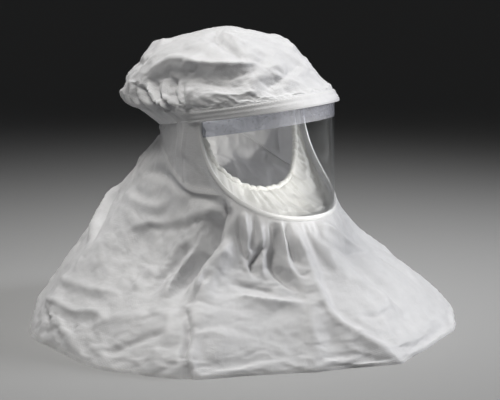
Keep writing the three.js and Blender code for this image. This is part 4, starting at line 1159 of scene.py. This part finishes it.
# the cloth round the elastic is gathered, so the cord ruffles
ruffle = sealSizes["elastic"] / 2 * (1 + 0.07 * np.sin(dense * 2 * math.pi * 60) * (0.6 + 0.4 * np.sin(dense * 40)))
elastic = cord("seal_elastic_cord", centres, away, ruffle, 12)
finishPiece(elastic, softCloth, "elastic", "seal_elastic")

# Stage, light and camera.
# metres and degrees; the lens is 1701 of the photo's 500 pixels across, on a sensor of 36 mm
stageSizes = dict(floor=14.0, sky=0.1, distance=2.25, turn=-52.0, height=0.63, aimHeight=0.168, sensor=36)
stageSizes["lens"] = 1701 * stageSizes["sensor"] / 500
stageGrey, tree = newMaterial("stage_grey")
paper = addNode(tree, "ShaderNodeBsdfPrincipled", {"Base Color": linear("#999999"), "Roughness": 0.8})
addNode(tree, "ShaderNodeOutputMaterial", {"Surface": paper.outputs[0]})
half = stageSizes["floor"] / 2
floorMesh = bpy.data.meshes.new("stage_floor")
floorMesh.from_pydata([(-half, -half, 0), (half, -half, 0), (half, half, 0), (-half, half, 0)], [], [(0, 1, 2, 3)])
floor = bpy.data.objects.new("stage_floor", floorMesh)
floorMesh.materials.append(stageGrey)
bpy.context.collection.objects.link(floor)


def placeLight(light, place, aim):
    lamp = bpy.data.objects.new(light.name, light)
    lamp.location = place
    lamp.rotation_euler = (Vector(aim) - Vector(place)).to_track_quat("-Z", "Y").to_euler()
    bpy.context.collection.objects.link(lamp)


def areaLight(name, place, aim, width, power, colour, spreadAngle):
    light = bpy.data.lights.new(name, "AREA")
    light.shape, light.size, light.energy = "DISK", width, power
    light.color = linear(colour)[:3]
    light.spread = math.radians(spreadAngle)
    placeLight(light, place, aim)


areaLight("key_light", (1.5, -1.45, 1.1), (0, 0, 0.15), 0.8, 5.7, "#fbfcff", 70)
areaLight("top_light", (0.25, 0.4, 2.6), (0, 0, 0), 1.0, 3.7, "#ffffff", 60)
areaLight("back_light", (-0.75, 0.3, 2.5), (-0.05, 0, 0.1), 1.1, 3.9, "#fffdf9", 56)
# a snooted lamp looks in through the visor, so that the seal and the inside read
snootSizes = dict(power=150, cone=7.6, softness=0.04)
snoot = bpy.data.lights.new("visor_light", "SPOT")
snoot.energy, snoot.spot_size, snoot.spot_blend = snootSizes["power"], math.radians(snootSizes["cone"]), 1.0
snoot.shadow_soft_size, snoot.color = snootSizes["softness"], linear("#fffdf8")[:3]
placeLight(snoot, (-0.35, -1.5, 0.42), (-0.01, -0.05, 0.218))
world = bpy.data.worlds.new("studio")
world.use_nodes = True
sky = world.node_tree.nodes["Background"].inputs
sky["Color"].default_value = linear("#949596")
sky["Strength"].default_value = stageSizes["sky"]
bpy.context.scene.world = world
bpy.context.scene.view_settings.view_transform = "Standard"

turn = math.radians(stageSizes["turn"])
shiftX, shiftY = form["originX"] * metre, form["originY"] * metre
camera = bpy.data.objects.new("camera", bpy.data.cameras.new("camera"))
camera.data.sensor_width = stageSizes["sensor"]
camera.data.lens = stageSizes["lens"]
outX, outY = math.sin(turn) * stageSizes["distance"], -math.cos(turn) * stageSizes["distance"]
camera.location = (outX + shiftX, outY + shiftY, stageSizes["height"])
aim = Vector((shiftX, shiftY, stageSizes["aimHeight"])) - camera.location
camera.rotation_euler = aim.to_track_quat("-Z", "Y").to_euler()
bpy.context.collection.objects.link(camera)
bpy.context.scene.camera = camera
